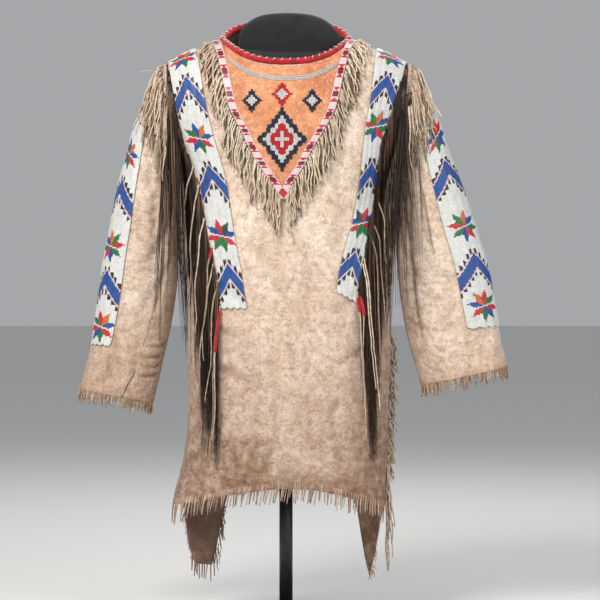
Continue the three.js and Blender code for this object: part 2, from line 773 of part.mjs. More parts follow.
function hemFringe(side, spec, from, to) {
  const place = (s) => mix(from, to, s);
  const corner = (s, low, out) => {
    const u = acrossOf(place(s), 200);
    const h = hemOf(side, u) - EDGE - spec.wide * low;
    const lift = out ? -0.2 : -HIDE + 0.2;
    return bodyPoint(side, u, h).addScaledVector(bodyNormal(side, u, h), lift);
  };
  return comb(spec, corner, (k, s) => {
    const u = acrossOf(place(s), 200);
    const hem = hemOf(side, u) - EDGE - spec.wide;
    const h = hem - spec.long - 4 * lean(k);
    const along = bodyPoint(side, u + 0.01, hem).sub(bodyPoint(side, u - 0.01, hem)).normalize();
    const at = bodyPoint(side, u, h)
      .addScaledVector(bodyNormal(side, u, h), -HIDE / 2 + 2.5 * lean(k + 3))
      .addScaledVector(along, 2 * lean(k + 7));
    return [{ at, side: along, out: bodyNormal(side, u, hem).multiplyScalar(TIP) }];
  });
}

function cuffFringe(rows) {
  const spec = FRINGE.cuff;
  const end = rows.length;
  const down = sleevePoint(rows, end, Math.PI / 2, 0).sub(sleevePoint(rows, end - 1, Math.PI / 2, 0));
  down.y = 0;
  down.normalize();
  const gap = 0.012; // share of the ring left open between the strip's two ends
  const angleOf = (s) => mix(gap, 1 - gap, s) * 2 * Math.PI + Math.PI;
  const corner = (s, low, out) => {
    const at = sleevePoint(rows, end, angleOf(s), out ? -0.2 : -HIDE + 0.2);
    return at.addScaledVector(down, SEAM + spec.wide * low);
  };
  return comb(spec, corner, (k, s) => {
    const long = spec.long + 4 * lean(k);
    const at = sleevePoint(rows, end, angleOf(s), -HIDE / 2 + 2 * lean(k + 2));
    const here = sleevePoint(rows, end, angleOf(s), 0);
    const along = sleevePoint(rows, end, angleOf(s + 0.01), 0).sub(here);
    const outward = sleevePoint(rows, end, angleOf(s), 1).sub(here);
    return [
      {
        at: at.addScaledVector(down, SEAM + spec.wide + long),
        side: along.normalize(),
        out: outward.normalize().multiplyScalar(TIP),
      },
    ];
  });
}

// Hide thongs that fall from the top of the armhole over the front of the sleeve.
function shoulderFringe(rows) {
  const spec = FRINGE.shoulder;
  const side = rows === SLEEVE_RIGHT ? 1 : -1;
  const angleOf = (s) => rad(mix(24, 66, s));
  const corner = (s, low, out) =>
    sleevePoint(rows, 0.32 + 0.1 * low, angleOf(s), out ? EDGE + 1.8 : EDGE - SEAM);
  return comb(spec, corner, (k, s) => {
    const root = sleevePoint(rows, 0.42, angleOf(s), LAID + 1);
    const long = spec.long + 16 * lean(k);
    return [0.25, 0.6, 1].map((f) => {
      const x = root.x + side * (mix(12, 3, s) * Math.sqrt(f) + 5);
      const z = root.z - long * f + 4;
      const y = Math.min(root.y - 10, -70 - 3 * lean(k));
      return {
        at: new THREE.Vector3(x, mix(root.y - 7, y, Math.sqrt(f)), z),
        side: new THREE.Vector3(-side * mix(1.8, 1.1, f), 0, 0),
        out: new THREE.Vector3(0, -0.9, 0),
      };
    });
  });
}

// The cut fringe of the side seam, with the long thongs that hang from its lower end.
function sideFringe() {
  const spec = FRINGE.side;
  const place = (s) => mix(525, 238, s);
  const corner = (s, low, out) => {
    const h = place(s);
    return new THREE.Vector3(sideX(true, h) + SEAM + 0.3 + spec.wide * low, out ? -1 : 1, h - 2 * low);
  };
  return comb(spec, corner, (k, s) => {
    const h = place(s);
    const x = sideX(true, h) + spec.wide;
    const tail = smooth(0.78, 0.95, s);
    const long = mix(spec.long + 8 * lean(k), 135 + 18 * lean(k), tail);
    return [0.35, 0.7, 1].map((f) => {
      const reach = mix(9, 13 - 8 * (1 - s), tail) * Math.sqrt(f);
      return {
        at: new THREE.Vector3(x + reach, -2.5 * f * lean(k), h - 4 - long * f),
        side: new THREE.Vector3(-0.8, 0, -1.1).multiplyScalar(mix(1.2, 0.8, f)),
        out: new THREE.Vector3(0, -0.8, 0),
      };
    });
  });
}

// Long dark hair in locks along the outer edge of a chest strip.
function hairLocks(rows, side, low) {
  const spec = FRINGE.hair;
  const clear = 1.9; // gap beside the beaded strip's edge
  const under = LAID + 2 * SEAM; // the panel's facets stand out a little below the armpit
  const place = (s) => {
    const h = mix(1008, low, s);
    return { x: read(rows, "z", "far", h) + side * clear, h };
  };
  const corner = (s, down, out) => {
    const { x, h } = place(s);
    return onBody(FRONT, x + side * spec.wide * down, h - down, out ? under + 2 : under);
  };
  return comb(spec, corner, (k, s) => {
    const { x, h } = place(s);
    const root = onBody(FRONT, x + side * (spec.wide + 1), h - 2, LAID + 1.5);
    const long = spec.long * mix(0.9, 1, s) + 26 * lean(k);
    const tip = Math.max(root.z - long, 246 + 9 * lean(k));
    return [0.04, 0.25, 0.65, 1].map((f) => {
      const bow = 2.5 + 2.5 * Math.sin(f * 3) - 9 * f * (1 - s);
      const drift = side * bow + 1.5 * lean(k + 4) * f;
      const front = Math.min(root.y - 5, -74) - 3 * Math.sin(f * 3.1) - 2 * lean(k + 1) * f;
      const y = mix(root.y - 6.5, front - 2, Math.min(1, f * 5));
      return {
        at: new THREE.Vector3(root.x + drift, y, mix(root.z, tip, f)),
        side: new THREE.Vector3(-side * mix(2.4, 0.8, f), 0, 0),
        out: new THREE.Vector3(0, -mix(1.6, 0.6, f), 0),
      };
    });
  });
}

// ---------- the dress form ----------

function formPoint(side, u, h) {
  const x = midX(h) + halfX(h) * u;
  const onShoulder = smooth(YOKE, RIDGE, h);
  const nearNeck = 1 - smooth(NECK.half - 10, NECK.half + 30, Math.abs(x));
  const ease = HIDE + mix(FORM.ease, FORM.shoulderEase, onShoulder) + FORM.neckEase * nearNeck * onShoulder;
  return bodyPoint(side, u, h, 0).addScaledVector(bodyNormal(side, u, h, 0), -ease);
}

function formTorso() {
  const low = 7;
  const arm = 3;
  const over = 6;
  const across = 12;
  const heights = [];
  for (let k = 0; k <= low; k++) heights.push(mix(FORM.bottom, ARMPIT, k / low));
  for (let k = 1; k <= arm; k++) heights.push(YOKE - (YOKE - ARMPIT) * Math.cos(((k / arm) * Math.PI) / 2));
  for (let k = 1; k <= over; k++) heights.push(mix(YOKE, RIDGE, k / over));
  const steps = Array.from({ length: across + 1 }, (_, k) => acrossAt((2 * k) / across - 1));
  const torso = loft(
    heights.map((h) => [
      ...steps.map((u) => formPoint(FRONT, u, h)),
      ...[...steps].reverse().map((u) => formPoint(BACK, u, h)),
    ]),
  );
  const sides = 20;
  const stump = loft(
    STUMP.map((row) =>
      Array.from({ length: sides }, (_, k) => {
        const a = (k / sides) * 2 * Math.PI;
        return new THREE.Vector3(row.mid + row.half * Math.cos(a), -3 + row.deep * Math.sin(a), row.z);
      }),
    ),
  );
  return joined(torso, stump);
}

function toManifold(geometry) {
  const merged = mergeVertices(geometry, 1e-4);
  return new wasm.Manifold(
    new wasm.Mesh({
      numProp: 3,
      vertProperties: merged.attributes.position.array,
      triVerts: new Uint32Array(merged.index.array),
    }),
  );
}

function joined(a, b) {
  const mesh = toManifold(a).add(toManifold(b)).getMesh();
  const geometry = new THREE.BufferGeometry();
  geometry.setAttribute("position", new THREE.BufferAttribute(mesh.vertProperties, 3));
  geometry.setIndex(new THREE.BufferAttribute(mesh.triVerts, 1));
  return geometry;
}

function formPost() {
  const low = FORM.baseHeight + SEAM;
  const high = FORM.bottom - SEAM;
  const post = new THREE.CylinderGeometry(FORM.postRadius, FORM.postRadius, high - low, 24);
  return post.rotateX(Math.PI / 2).translate(0, 0, (low + high) / 2);
}

function formBase() {
  const r = FORM.baseRadius;
  const h = FORM.baseHeight;
  const profile = [
    [0, 0],
    [r - 1, 0],
    [r, 1],
    [r, h - 4],
    [r - 4, h],
    [0, h],
  ].map(([x, y]) => new THREE.Vector2(x, y));
  return new THREE.LatheGeometry(profile, 32).rotateX(Math.PI / 2);
}

// ---------- assembly ----------

const part = new THREE.Group();
const finishes = {
  hide: { color: COLOURS.hide, roughness: 0.9 },
  ochre: { color: COLOURS.ochre, roughness: 0.88 },
  beads: { color: COLOURS.beads, roughness: 0.35 },
  border: { color: COLOURS.border, roughness: 0.4 },
  wool: { color: COLOURS.wool, roughness: 0.95 },
  hair: { color: COLOURS.hair, roughness: 0.5 },
  form: { color: COLOURS.form, roughness: 0.95 },
};

function add(name, geometry, finish) {
  const material = new THREE.MeshStandardMaterial({ ...finishes[finish], metalness: 0 });
  const mesh = new THREE.Mesh(geometry, material);
  mesh.name = name;
  part.add(mesh);
}

add("front", panel(FRONT), "hide");
add("back", panel(BACK), "hide");
add("sleeve_left", sleeve(SLEEVE_LEFT), "hide");
add("sleeve_right", sleeve(SLEEVE_RIGHT), "hide");
add("bib", bib(), "ochre");
add("bib_border_left", bibBorder(false), "border");
add("bib_border_right", bibBorder(true), "border");
add("neck_binding", neckBinding(), "wool");
add("chest_strip_left", chestStrip(CHEST_LEFT, CHEST_SLANT.left), "beads");
add("chest_strip_right", chestStrip(CHEST_RIGHT, CHEST_SLANT.right), "beads");
add("arm_strip_left", armStrip(SLEEVE_LEFT, ARM_LEFT), "beads");
add("arm_strip_right", armStrip(SLEEVE_RIGHT, ARM_RIGHT), "beads");
add("bib_fringe_left", bibFringe(false), "hide");
add("bib_fringe_right", bibFringe(true), "hide");
add("hem_fringe_front", hemFringe(FRONT, FRINGE.hemFront, -198, 170), "hide");
add("hem_fringe_back", hemFringe(BACK, FRINGE.hemBack, -106, 104), "hide");
add("tab_fringe_left", hemFringe(BACK, FRINGE.tab, -160, -131), "hide");
add("cuff_fringe_left", cuffFringe(SLEEVE_LEFT), "hide");
add("cuff_fringe_right", cuffFringe(SLEEVE_RIGHT), "hide");
add("shoulder_fringe_left", shoulderFringe(SLEEVE_LEFT), "hide");
add("shoulder_fringe_right", shoulderFringe(SLEEVE_RIGHT), "hide");
add("side_fringe_right", sideFringe(), "hide");
add("hair_left", hairLocks(CHEST_LEFT, -1, 600), "hair");
add("hair_right", hairLocks(CHEST_RIGHT, 1, 655), "hair");
add("form_torso", formTorso(), "form");
add("form_post", formPost(), "form");
add("form_base", formBase(), "form");

export default part;
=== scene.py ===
"""The looks of a beaded hide shirt on a limbless dress form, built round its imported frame.

Tables are in millimetres in the part's own frame (+Z up, -Y the front), and meshes in metres.
Left and right are as seen from the front.
"""

import math

import bpy
import numpy as np
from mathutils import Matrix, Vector


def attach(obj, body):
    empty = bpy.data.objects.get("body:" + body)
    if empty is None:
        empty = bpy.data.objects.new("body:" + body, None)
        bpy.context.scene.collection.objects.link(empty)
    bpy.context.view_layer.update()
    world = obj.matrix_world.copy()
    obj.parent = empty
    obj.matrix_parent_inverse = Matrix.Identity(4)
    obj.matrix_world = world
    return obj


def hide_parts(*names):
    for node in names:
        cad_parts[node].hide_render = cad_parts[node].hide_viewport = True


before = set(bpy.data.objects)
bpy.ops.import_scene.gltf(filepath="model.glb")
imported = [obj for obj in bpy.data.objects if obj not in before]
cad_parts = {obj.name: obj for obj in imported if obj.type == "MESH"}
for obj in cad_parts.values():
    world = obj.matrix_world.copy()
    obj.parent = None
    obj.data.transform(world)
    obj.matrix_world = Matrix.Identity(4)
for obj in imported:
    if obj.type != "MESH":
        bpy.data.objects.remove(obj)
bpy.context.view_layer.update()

MM = 0.001
FRONT, BACK = -1, 1

# ---------- sizes of the garment, as in the solids ----------

HIDE = 2.0  # wall of the hide
SEAM = 0.3  # gap between sewn pieces
LAID = 1.35  # gap under what lies on a panel
BIB_LAID = 2.3  # the same under the bib, which bridges the tighter turn beside the neck
BIB_WALL = 1.8
STRIP_BACKING = 1.5  # hide under a strip's beads
HEM_LEVEL = 200.0  # height at which places across the hem are measured
ARMPIT, YOKE, RIDGE = 820.0, 910.0, 1041.0
ARMHOLE = {"depth": 58.0, "top": 1000.0}
ARMHOLE |= {"leftLow": -191.0, "leftTop": -220.0, "rightLow": 196.0, "rightTop": 226.0}
NECK = {"half": 119.0, "front": 0.58, "back": 0.32, "power": 2.6, "nape": 50.0, "roll": 5.6, "clear": 2.0}
ROUND = {"section": 2.4, "yoke": 3.0, "over": 1.11}  # powers of the rounded sections
SLEEVE_POWER = 2.25
LAST_RING = 11  # of a sleeve, at its cuff
FORM = {"bottom": 288.0, "ease": 13.0, "shoulderEase": 1.0, "neckEase": 10.0}
FORM |= {"post": 12.0, "base": 150.0, "plate": 14.0}
SIGN = {"left": -1, "right": 1}


def table(names, *rows):
    """Rows under named columns, as a dictionary of arrays."""
    return dict(zip(names.split(), np.array(rows, float).T))


# By height: the side seams, and how far the front and the back stand out from them.
BODY = table(
    "z left right front back",
    (30, -212, 172, 72, 62),
    (200, -205, 177, 80, 68),
    (300, -182, 181, 89, 75),
    (400, -174, 185, 98, 82),
    (490, -176, 188, 104, 89),
    (580, -177, 185, 108, 95),
    (670, -182, 181, 112, 101),
    (757, -186, 182, 116, 106),
    (820, -191, 196, 119, 110),
    (910, -205, 211, 120, 112),
)
# Height of the shoulder line by distance from the middle.
SHOULDER = table(
    "x z", (0, 1046), (60, 1045), (119, 1039), (150, 1031), (182, 1020), (205, 1008), (226, 998)
)
# Broad folds: place and half width as shares of the panel's half width, depth, and where they die out.
FOLDS = {
    FRONT: table(
        "u wide deep dies",
        (-0.8, 0.1, 5, 560),
        (-0.5, 0.13, -4, 480),
        (-0.16, 0.1, 3.5, 430),
        (0.22, 0.14, -4.5, 520),
        (0.58, 0.12, 5.5, 600),
        (0.84, 0.08, -4, 640),
    ),
    BACK: table(
        "u wide deep dies",
        (-0.72, 0.12, -5, 600),
        (-0.36, 0.12, 5, 520),
        (0.05, 0.14, -5, 620),
        (0.45, 0.12, 5, 540),
        (0.78, 0.1, -4, 460),
    ),
}
# The cut lower edge. The back has a leg tab at each corner.
HEM = {
    FRONT: table(
        "x z", (-205, 211), (-150, 222), (-90, 235), (-20, 244), (50, 241), (110, 228), (177, 206)
    ),
    BACK: table(
        "x z",
        (-205, 216),
        (-187, 205),
        (-172, 128),
        (-161, 97),
        (-130, 93),
        (-121, 140),
        (-110, 238),
        (-40, 252),
        (50, 252),
        (108, 236),
        (130, 196),
        (146, 112),
        (156, 74),
        (165, 122),
        (177, 208),
    ),
}
# Ring by ring from the armhole: the outer and the inner edge, and half the depth.
SLEEVE = {
    "left": table(
        "n outX outZ inX inZ deep",
        (0, -220.6, 1000, -191.6, 820, 58),
        (1, -241, 965, -193.5, 814, 58),
        (2, -258, 926, -195, 806, 57),
        (3, -272, 886, -196, 796, 56),
        (4, -284, 839, -196, 778, 54),
        (5, -301, 775, -195, 748, 53),
        (6, -313, 710, -195, 692, 52),
        (7, -326, 645, -196, 634, 51),
        (8, -335, 580, -201, 573, 50),
        (9, -346, 515, -214, 505, 49),
        (10, -359, 461, -228, 443, 48),
        (11, -371, 418, -239, 393, 47),
    ),
    "right": table(
        "n outX outZ inX inZ deep",
        (0, 226.6, 1000, 196.6, 820, 58),
        (1, 248, 965, 200, 814, 58),
        (2, 265, 926, 200.5, 806, 57),
        (3, 278, 890, 201, 796, 56),
        (4, 295, 839, 200, 778, 54),
        (5, 320, 775, 198, 746, 53),
        (6, 342, 710, 198, 685, 52),
        (7, 362, 645, 203, 627, 51),
        (8, 374, 580, 209, 566, 50),
        (9, 385, 512, 223, 497, 49),
        (10, 392, 483, 234, 459, 48),
        (11, 398, 458, 243, 424, 47),
    ),
}
# The bib's edges by height.
BIB = table(
    "z left right",
    (752, -7, 1),
    (779, -24, 12),
    (812, -46, 33),
    (840, -62, 47),
    (870, -76, 65),
    (905, -94, 84),
    (960, -113, 103),
    (1041, -137, 131),
)
# The edges of the chest strips on the front, by height.
CHEST = {
    "left": table(
        "z near far",
        (561, -67, -112),
        (632, -78, -120),
        (690, -89, -134),
        (780, -102, -149),
        (822, -113, -162),
        (870, -127, -179),
        (910, -137, -190),
        (960, -149, -201),
        (1041, -165, -212),
    ),
    "right": table(
        "z near far",
        (590, 88, 126),
        (632, 94, 133),
        (710, 115, 149),
        (751, 123, 157),
        (800, 130, 165),
        (844, 135, 169),
        (880, 139, 176),
        (913, 145, 186),
        (960, 154, 203),
        (1041, 164, 218),
    ),
}
CHEST_SLANT = {"left": 0.0, "right": 20.0}  # how much lower the far corner of the front end is
CHEST_BACK_END = 600.0  # height at which the strips end on the back
CHEST_BACK_PULL = 0.86  # how far in they lie there, below the yoke
# The edges of the arm strips by ring, as degrees round the sleeve: 0 is the outer edge, 90 the front.
ARM = {
    "left": table("ring outer inner", (2.6, -4, 64), (5, 0, 72), (8, 6, 70), (9.3, 20, 68)),
    "right": table("ring outer inner", (2.2, 18, 84), (5, 22, 86), (7, 20, 80), (8.7, 14, 77)),
}
# The neck of the form, ring by ring.
STUMP = table(
    "z mid half deep",
    (1008, 10, 97, 40),
    (1036, 10, 95, 40),
    (1052, 7, 91, 39),
    (1068, 4, 81, 37),
    (1080, 4, 66, 32),
    (1088, 3, 47, 24),
    (1092, 3, 24, 12),
)

# Creases of the hide that the solids don't hold: a line from one end to the other, the half width, the
# depth (a trough is below 0) and how far its middle bows to one side.
CREASES = {
    FRONT: table(
        "x0 z0 x1 z1 wide deep bow",
        (-150, 640, -60, 560, 9, -1.9, 6),
        (-165, 560, -70, 505, 8, -1.6, 4),
        (-160, 470, -40, 420, 10, -1.7, -7),
        (-120, 700, -20, 655, 10, -1.3, 5),
        (150, 610, 60, 540, 9, -1.7, -5),
        (168, 500, 80, 455, 9, -1.9, 5),
        (160, 400, 70, 385, 10, -1.6, 4),
        (-40, 730, -32, 560, 8, -1.0, 5),
        (34, 700, 26, 500, 9, -1.1, -6),
        (-20, 520, -8, 300, 8, -1.2, 4),
        (70, 440, 92, 260, 9, -1.6, -4),
        (-110, 400, -122, 250, 10, -1.5, 5),
        (-60, 380, -70, 262, 7, 1.2, -3),
        (120, 330, 128, 225, 8, 1.3, 3),
        (10, 610, 80, 590, 7, -0.8, 3),
        (-90, 330, 10, 318, 6, -0.9, 3),
        (-100, 605, 0, 600, 6, 0.7, -4),
        (20, 420, 110, 405, 6, 0.8, 3),
        (-178, 780, -120, 690, 7, -1.2, 4),
        (182, 780, 140, 700, 7, -1.2, -4),
    ),
    BACK: table(
        "x0 z0 x1 z1 wide deep bow",
        (-150, 700, -50, 640, 10, -1.8, 6),
        (150, 690, 60, 620, 10, -1.8, -5),
        (-165, 560, -60, 520, 9, -1.6, 4),
        (168, 540, 70, 500, 9, -1.7, 5),
        (-20, 800, -10, 560, 9, -1.3, 5),
        (30, 640, 20, 380, 9, -1.3, -6),
        (-120, 440, -100, 260, 10, -1.6, 4),
        (110, 420, 120, 250, 10, -1.6, -4),
        (-60, 900, 60, 894, 12, -1.3, 8),
        (-80, 470, 30, 455, 7, -1.0, 4),
        (-110, 860, -40, 800, 8, -1.1, 4),
        (110, 860, 40, 790, 8, -1.1, -4),
        (-150, 330, -60, 300, 7, -1.1, 3),
        (60, 330, 150, 310, 7, 1.0, 3),
    ),
}

# Creases of the sleeves: ring and angle of both ends, the half width and the depth. The hidden backs of
# both sleeves have the same ones.
SLEEVE_BACK_CREASES = (
    (1.0, 250, 5.0, 285, 10, -2.8),
    (2.4, 205, 6.6, 250, 9, -2.6),
    (5.0, 300, 8.0, 255, 9, -2.2),
    (6.8, 200, 8.8, 270, 8, -2.2),
    (8.2, 230, 10.6, 260, 8, -1.8),
)
SLEEVE_CREASES = {
    "left": table(
        "n0 a0 n1 a1 wide deep",
        (0.6, 150, 4.2, 95, 8, -3.0),
        (1.2, 110, 4.8, 118, 6, -2.6),
        (2.0, 165, 6.2, 130, 7, -2.6),
        (3.4, 80, 6.8, 112, 8, -2.0),
        (5.2, 150, 7.2, 85, 7, -2.2),
        (6.0, 130, 8.6, 118, 5, -2.4),
        (6.2, 160, 8.2, 95, 6, -1.8),
        (9.0, 175, 9.2, 118, 3.2, -3.0),
        (9.3, 178, 9.5, 112, 3.0, -3.2),
        (9.6, 175, 9.8, 108, 3.0, -3.0),
        (9.9, 170, 10.1, 112, 3.4, -2.6),
        (9.4, 106, 11.0, 97, 4, -1.8),
        (8.6, 70, 10.8, 66, 8, -1.6),
        (10.1, 150, 10.8, 120, 5, -1.3),
        *SLEEVE_BACK_CREASES,
        (2.6, 98, 5.6, 92, 6, 1.6),
    ),
    "right": table(
        "n0 a0 n1 a1 wide deep",
        (1.0, 128, 5.6, 126, 4.5, -4.0),
        (4.6, 124, 9.2, 133, 4.0, -3.0),
        (1.8, 150, 6.0, 134, 5, -3.4),
        (2.6, 168, 6.8, 146, 7, -2.6),
        (1.4, 112, 4.0, 116, 5, -2.2),
        (4.0, 103, 6.8, 98, 4.5, -2.8),
        (5.6, 158, 7.6, 112, 7, -1.8),
        (7.6, 128, 7.8, 92, 4, -1.4),
        (8.2, 166, 8.6, 112, 5, -1.5),
        (9.0, 118, 9.6, 96, 4, -1.5),
        (9.3, 132, 9.9, 104, 4, -1.5),
        (9.8, 150, 10.6, 110, 5, -1.3),
        (8.6, 74, 10.8, 82, 8, -1.4),
        *SLEEVE_BACK_CREASES,
        (1.8, 138, 5.8, 141, 5, 2.0),
    ),
}


# ---------- curves ----------


def mix(a, b, f):
    return a + (b - a) * f


def smooth(low, high, x):
    f = np.clip((x - low) / (high - low), 0, 1)
    return f * f * (3 - 2 * f)


def read(rows, key, column, at):
    """Smooth value of one column of a table at values of another, which rises from row to row."""
    keys, values = rows[key], rows[column]
    last = len(keys) - 1
    numbers = np.arange(last + 1)
    before, after = np.maximum(numbers - 1, 0), np.minimum(numbers + 1, last)
    slope = (values[after] - values[before]) / (keys[after] - keys[before])
    x = np.clip(at, keys[0], keys[-1])
    i = np.clip(np.searchsorted(keys, x) - 1, 0, last - 1)
    step = keys[i + 1] - keys[i]
    f = (x - keys[i]) / step
    f2, f3 = f * f, f * f * f
    return (
        (2 * f3 - 3 * f2 + 1) * values[i]
        + (f3 - 2 * f2 + f) * step * slope[i]
        + (3 * f2 - 2 * f3) * values[i + 1]
        + (f3 - f2) * step * slope[i + 1]
    )


def read_straight(rows, key, column, at):
    return np.interp(at, rows[key], rows[column])


def unit(v):
    return v / np.maximum(np.linalg.norm(v, axis=-1, keepdims=True), 1e-9)


def run_of(line):
    """How far along a line of points each of them lies."""
    return np.concatenate([[0], np.cumsum(np.linalg.norm(np.diff(line, axis=0), axis=-1))])


def crease(away, t, wide, rim):
    """Section of a crease between two raised rims. It fades out at both ends of its line."""
    ridge = np.exp(-((away / wide) ** 2)) - rim * np.exp(-(((np.abs(away) - 1.7 * wide) / wide) ** 2))
    return ridge * smooth(-0.05, 0.3, t) * (1 - smooth(0.7, 1.05, t))


# ---------- the surface of the body ----------
# u runs from -1 at one side seam to 1 at the other. h is the height, and from the yoke up to the ridge it
# stands for the turn over the shoulder.


def turn(h):
    return np.clip((h - YOKE) / (RIDGE - YOKE), 0, None) * np.pi / 2


def side_x(right, h):
    edge_height = np.where(h <= YOKE, h, YOKE + (ARMHOLE["top"] - YOKE) * np.sin(turn(h)))
    f = np.clip((edge_height - ARMPIT) / (ARMHOLE["top"] - ARMPIT), 0, 1)
    name = "right" if right else "left"
    armhole = mix(ARMHOLE[name + "Low"], ARMHOLE[name + "Top"], f)
    return np.where(h <= ARMPIT, read(BODY, "z", name, h), armhole)


def mid_x(h):
    return (side_x(False, h) + side_x(True, h)) / 2


def half_x(h):
    return (side_x(True, h) - side_x(False, h)) / 2


def x_of(u, h):
    return mid_x(h) + half_x(h) * u


def across_of(x, h):
    return np.clip((x - mid_x(h)) / half_x(h), -1, 1)


def edge_depth(h, size):
    """Depth of the armhole's edge. Inside the panel it starts more softly than along the cut edge."""
    below = np.clip((YOKE - h) / (YOKE - ARMPIT), 0, 1)
    cut = np.where(h <= ARMPIT, 0.0, ARMHOLE["depth"] * np.sqrt(np.clip(1 - below**2, 0, 1)))
    soft = ARMHOLE["depth"] * smooth(ARMPIT - 45, YOKE, h)
    return mix(soft, cut, size**10)


def fold_depth(side, u, h):
    total = 0.0
    for place, wide, deep, dies in zip(*FOLDS[side].values()):
        total = total + deep * np.exp(-(((u - place) / wide) ** 2)) * (1 - smooth(220, dies, h))
    return total


def body_point(side, u, h, nape=NECK["nape"]):
    u, h = np.broadcast_arrays(np.asarray(u, float), np.asarray(h, float))
    low = np.minimum(h, YOKE)
    size = np.abs(u)
    rounded = np.clip(1 - size ** ROUND["section"], 0, 1) ** (1 / ROUND["section"])
    flat = 1 - size ** ROUND["yoke"]
    full = mix(rounded, flat, smooth(ARMPIT - 30, YOKE, low))
    middle = read(BODY, "z", "front" if side == FRONT else "back", low)
    depth = mix(edge_depth(low, size), middle, full) + fold_depth(side, u, h) * full
    x = x_of(u, h)
    power = ROUND["over"] - (ROUND["over"] - 1) * u**4
    over = turn(h)
    stand = smooth(0.45, 1.15, over) * np.clip(1 - (x / NECK["half"]) ** 4, 0, None)
    rise = nape * stand if side == BACK else 0.0
    top = read(SHOULDER, "x", "z", np.abs(x)) + rise
    crest = mix(top, ARMHOLE["top"], size**12)
    z = np.where(h <= YOKE, h, YOKE + (crest - YOKE) * np.sin(over) ** power)
    y = np.where(h <= YOKE, depth, depth * np.clip(np.cos(over), 0, 1) ** power)
    return np.stack([x, side * (y + SEAM / 2), z], -1)


def across_at(t):
    return np.sign(t) * np.abs(np.sin(t * np.pi / 2)) ** (2 / ROUND["section"])


def step_of(u):
    return np.sign(u) * np.arcsin(np.clip(np.abs(u), 0, 1) ** (ROUND["section"] / 2)) * 2 / np.pi


def body_normal(side, u, h, nape=NECK["nape"]):
    u, h = np.broadcast_arrays(np.asarray(u, float), np.asarray(h, float))
    t = step_of(u)

    def at(tt, hh):
        return body_point(side, across_at(np.clip(tt, -1, 1)), np.minimum(hh, RIDGE), nape)

    across = at(t + 0.02, h) - at(t - 0.02, h)
    up = at(t, h + 3) - at(t, h - 3)
    n = np.cross(across, up) * (1 if side == FRONT else -1)
    n[..., 1] = np.where(h >= RIDGE - 0.01, 0, n[..., 1])
    seam = (np.abs(u) > 0.9999) & (h <= ARMPIT)
    n[..., 1] = np.where(seam, 0, n[..., 1])
    n[..., 2] = np.where(seam, 0, n[..., 2])
    return unit(n)


def crease_depth(side, x, h):
    """How far the hide's creases stand out of the plain surface, in millimetres."""
    total = np.zeros(np.broadcast(x, h).shape)
    for x0, z0, x1, z1, wide, deep, bow in zip(*CREASES[side].values()):
        dx, dz = x1 - x0, z1 - z0
        length = math.hypot(dx, dz)
        t = ((x - x0) * dx + (h - z0) * dz) / length**2
        away = ((x - x0) * dz - (h - z0) * dx) / length - bow * 4 * t * (1 - t)
        total += deep * crease(away, t, wide, 0.35)
    ripple = np.sin(x * 0.061 + np.sin(h * 0.023) * 1.4) * np.sin(h * 0.041 + np.sin(x * 0.037) * 1.7)
    small = np.sin(x * 0.17 + h * 0.05 + 1.3) * np.sin(h * 0.13 - x * 0.06)
    quiet = 1 - smooth(940, 1000, h)
    return total + (0.55 * ripple + 0.22 * small) * quiet


def on_body(side, x, h, out=0.0):
    x, h = np.broadcast_arrays(np.asarray(x, float), np.asarray(h, float))
    u = across_of(x, h)
    lift = np.asarray(out)[..., None] if np.ndim(out) else out
    relief = crease_depth(side, x, h)[..., None] * (1 - smooth(0.9, 1, np.abs(u)))[..., None]
    return body_point(side, u, h) + body_normal(side, u, h) * (lift + relief)


def neck_turn(side, x):
    dip = NECK["front"] if side == FRONT else NECK["back"]
    f = np.clip(1 - np.abs(x / NECK["half"]) ** NECK["power"], 0, None)
    return mix(YOKE, RIDGE, 1 - dip * np.sqrt(f))


def panel_top(side, u):
    h = np.full(np.shape(u), RIDGE)
    for _ in range(4):
        h = neck_turn(side, x_of(u, h))
    return h


def hem_of(side, u):
    x = x_of(u, HEM_LEVEL)
    return read(HEM[side], "x", "z", x) if side == FRONT else read_straight(HEM[side], "x", "z", x)


# ---------- the surface of the sleeves ----------


def sleeve_point(name, n, angle, out=0.0):
    rows = SLEEVE[name]
    n, angle = np.broadcast_arrays(np.asarray(n, float), np.asarray(angle, float))
    outer = np.stack([read(rows, "n", "outX", n), np.zeros(n.shape), read(rows, "n", "outZ", n)], -1)
    inner = np.stack([read(rows, "n", "inX", n), np.zeros(n.shape), read(rows, "n", "inZ", n)], -1)
    deep = read(rows, "n", "deep", n)
    centre = (outer + inner) / 2
    across = outer - centre
    half = np.linalg.norm(across, axis=-1)
    across = across / half[..., None]
    power = 2 / mix(2, SLEEVE_POWER, np.clip(n, 0, 1))
    c, s = np.cos(angle), np.sin(angle)
    a = np.sign(c) * np.abs(c) ** power
    d = np.sign(s) * np.abs(s) ** power
    point = centre + across * ((half + out) * a)[..., None]
    point[..., 1] -= (deep + out) * d
    return point


def sleeve_relief(name, n, angle):
    """Creases of a sleeve, as a distance out of its plain surface."""
    degrees = np.degrees(angle) % 360
    per_ring, per_degree = 60.0, 1.05  # millimetres along and round the sleeve
    total = np.zeros(np.broadcast(n, angle).shape)
    for n0, a0, n1, a1, wide, deep in zip(*SLEEVE_CREASES[name].values()):
        dx, dz = (a1 - a0) * per_degree, (n1 - n0) * per_ring
        px, pz = (degrees - a0) * per_degree, (n - n0) * per_ring
        length = math.hypot(dx, dz)
        t = (px * dx + pz * dz) / length**2
        away = (px * dz - pz * dx) / length - 5 * np.sin(t * 3.1)
        total += deep * crease(away, t, wide, 0.4)
    ripple = np.sin(degrees * 0.07 + n * 1.9) * np.sin(n * 2.7 + np.sin(degrees * 0.05) * 1.5)
    return (total + 0.6 * ripple) * smooth(0.0, 0.5, n)


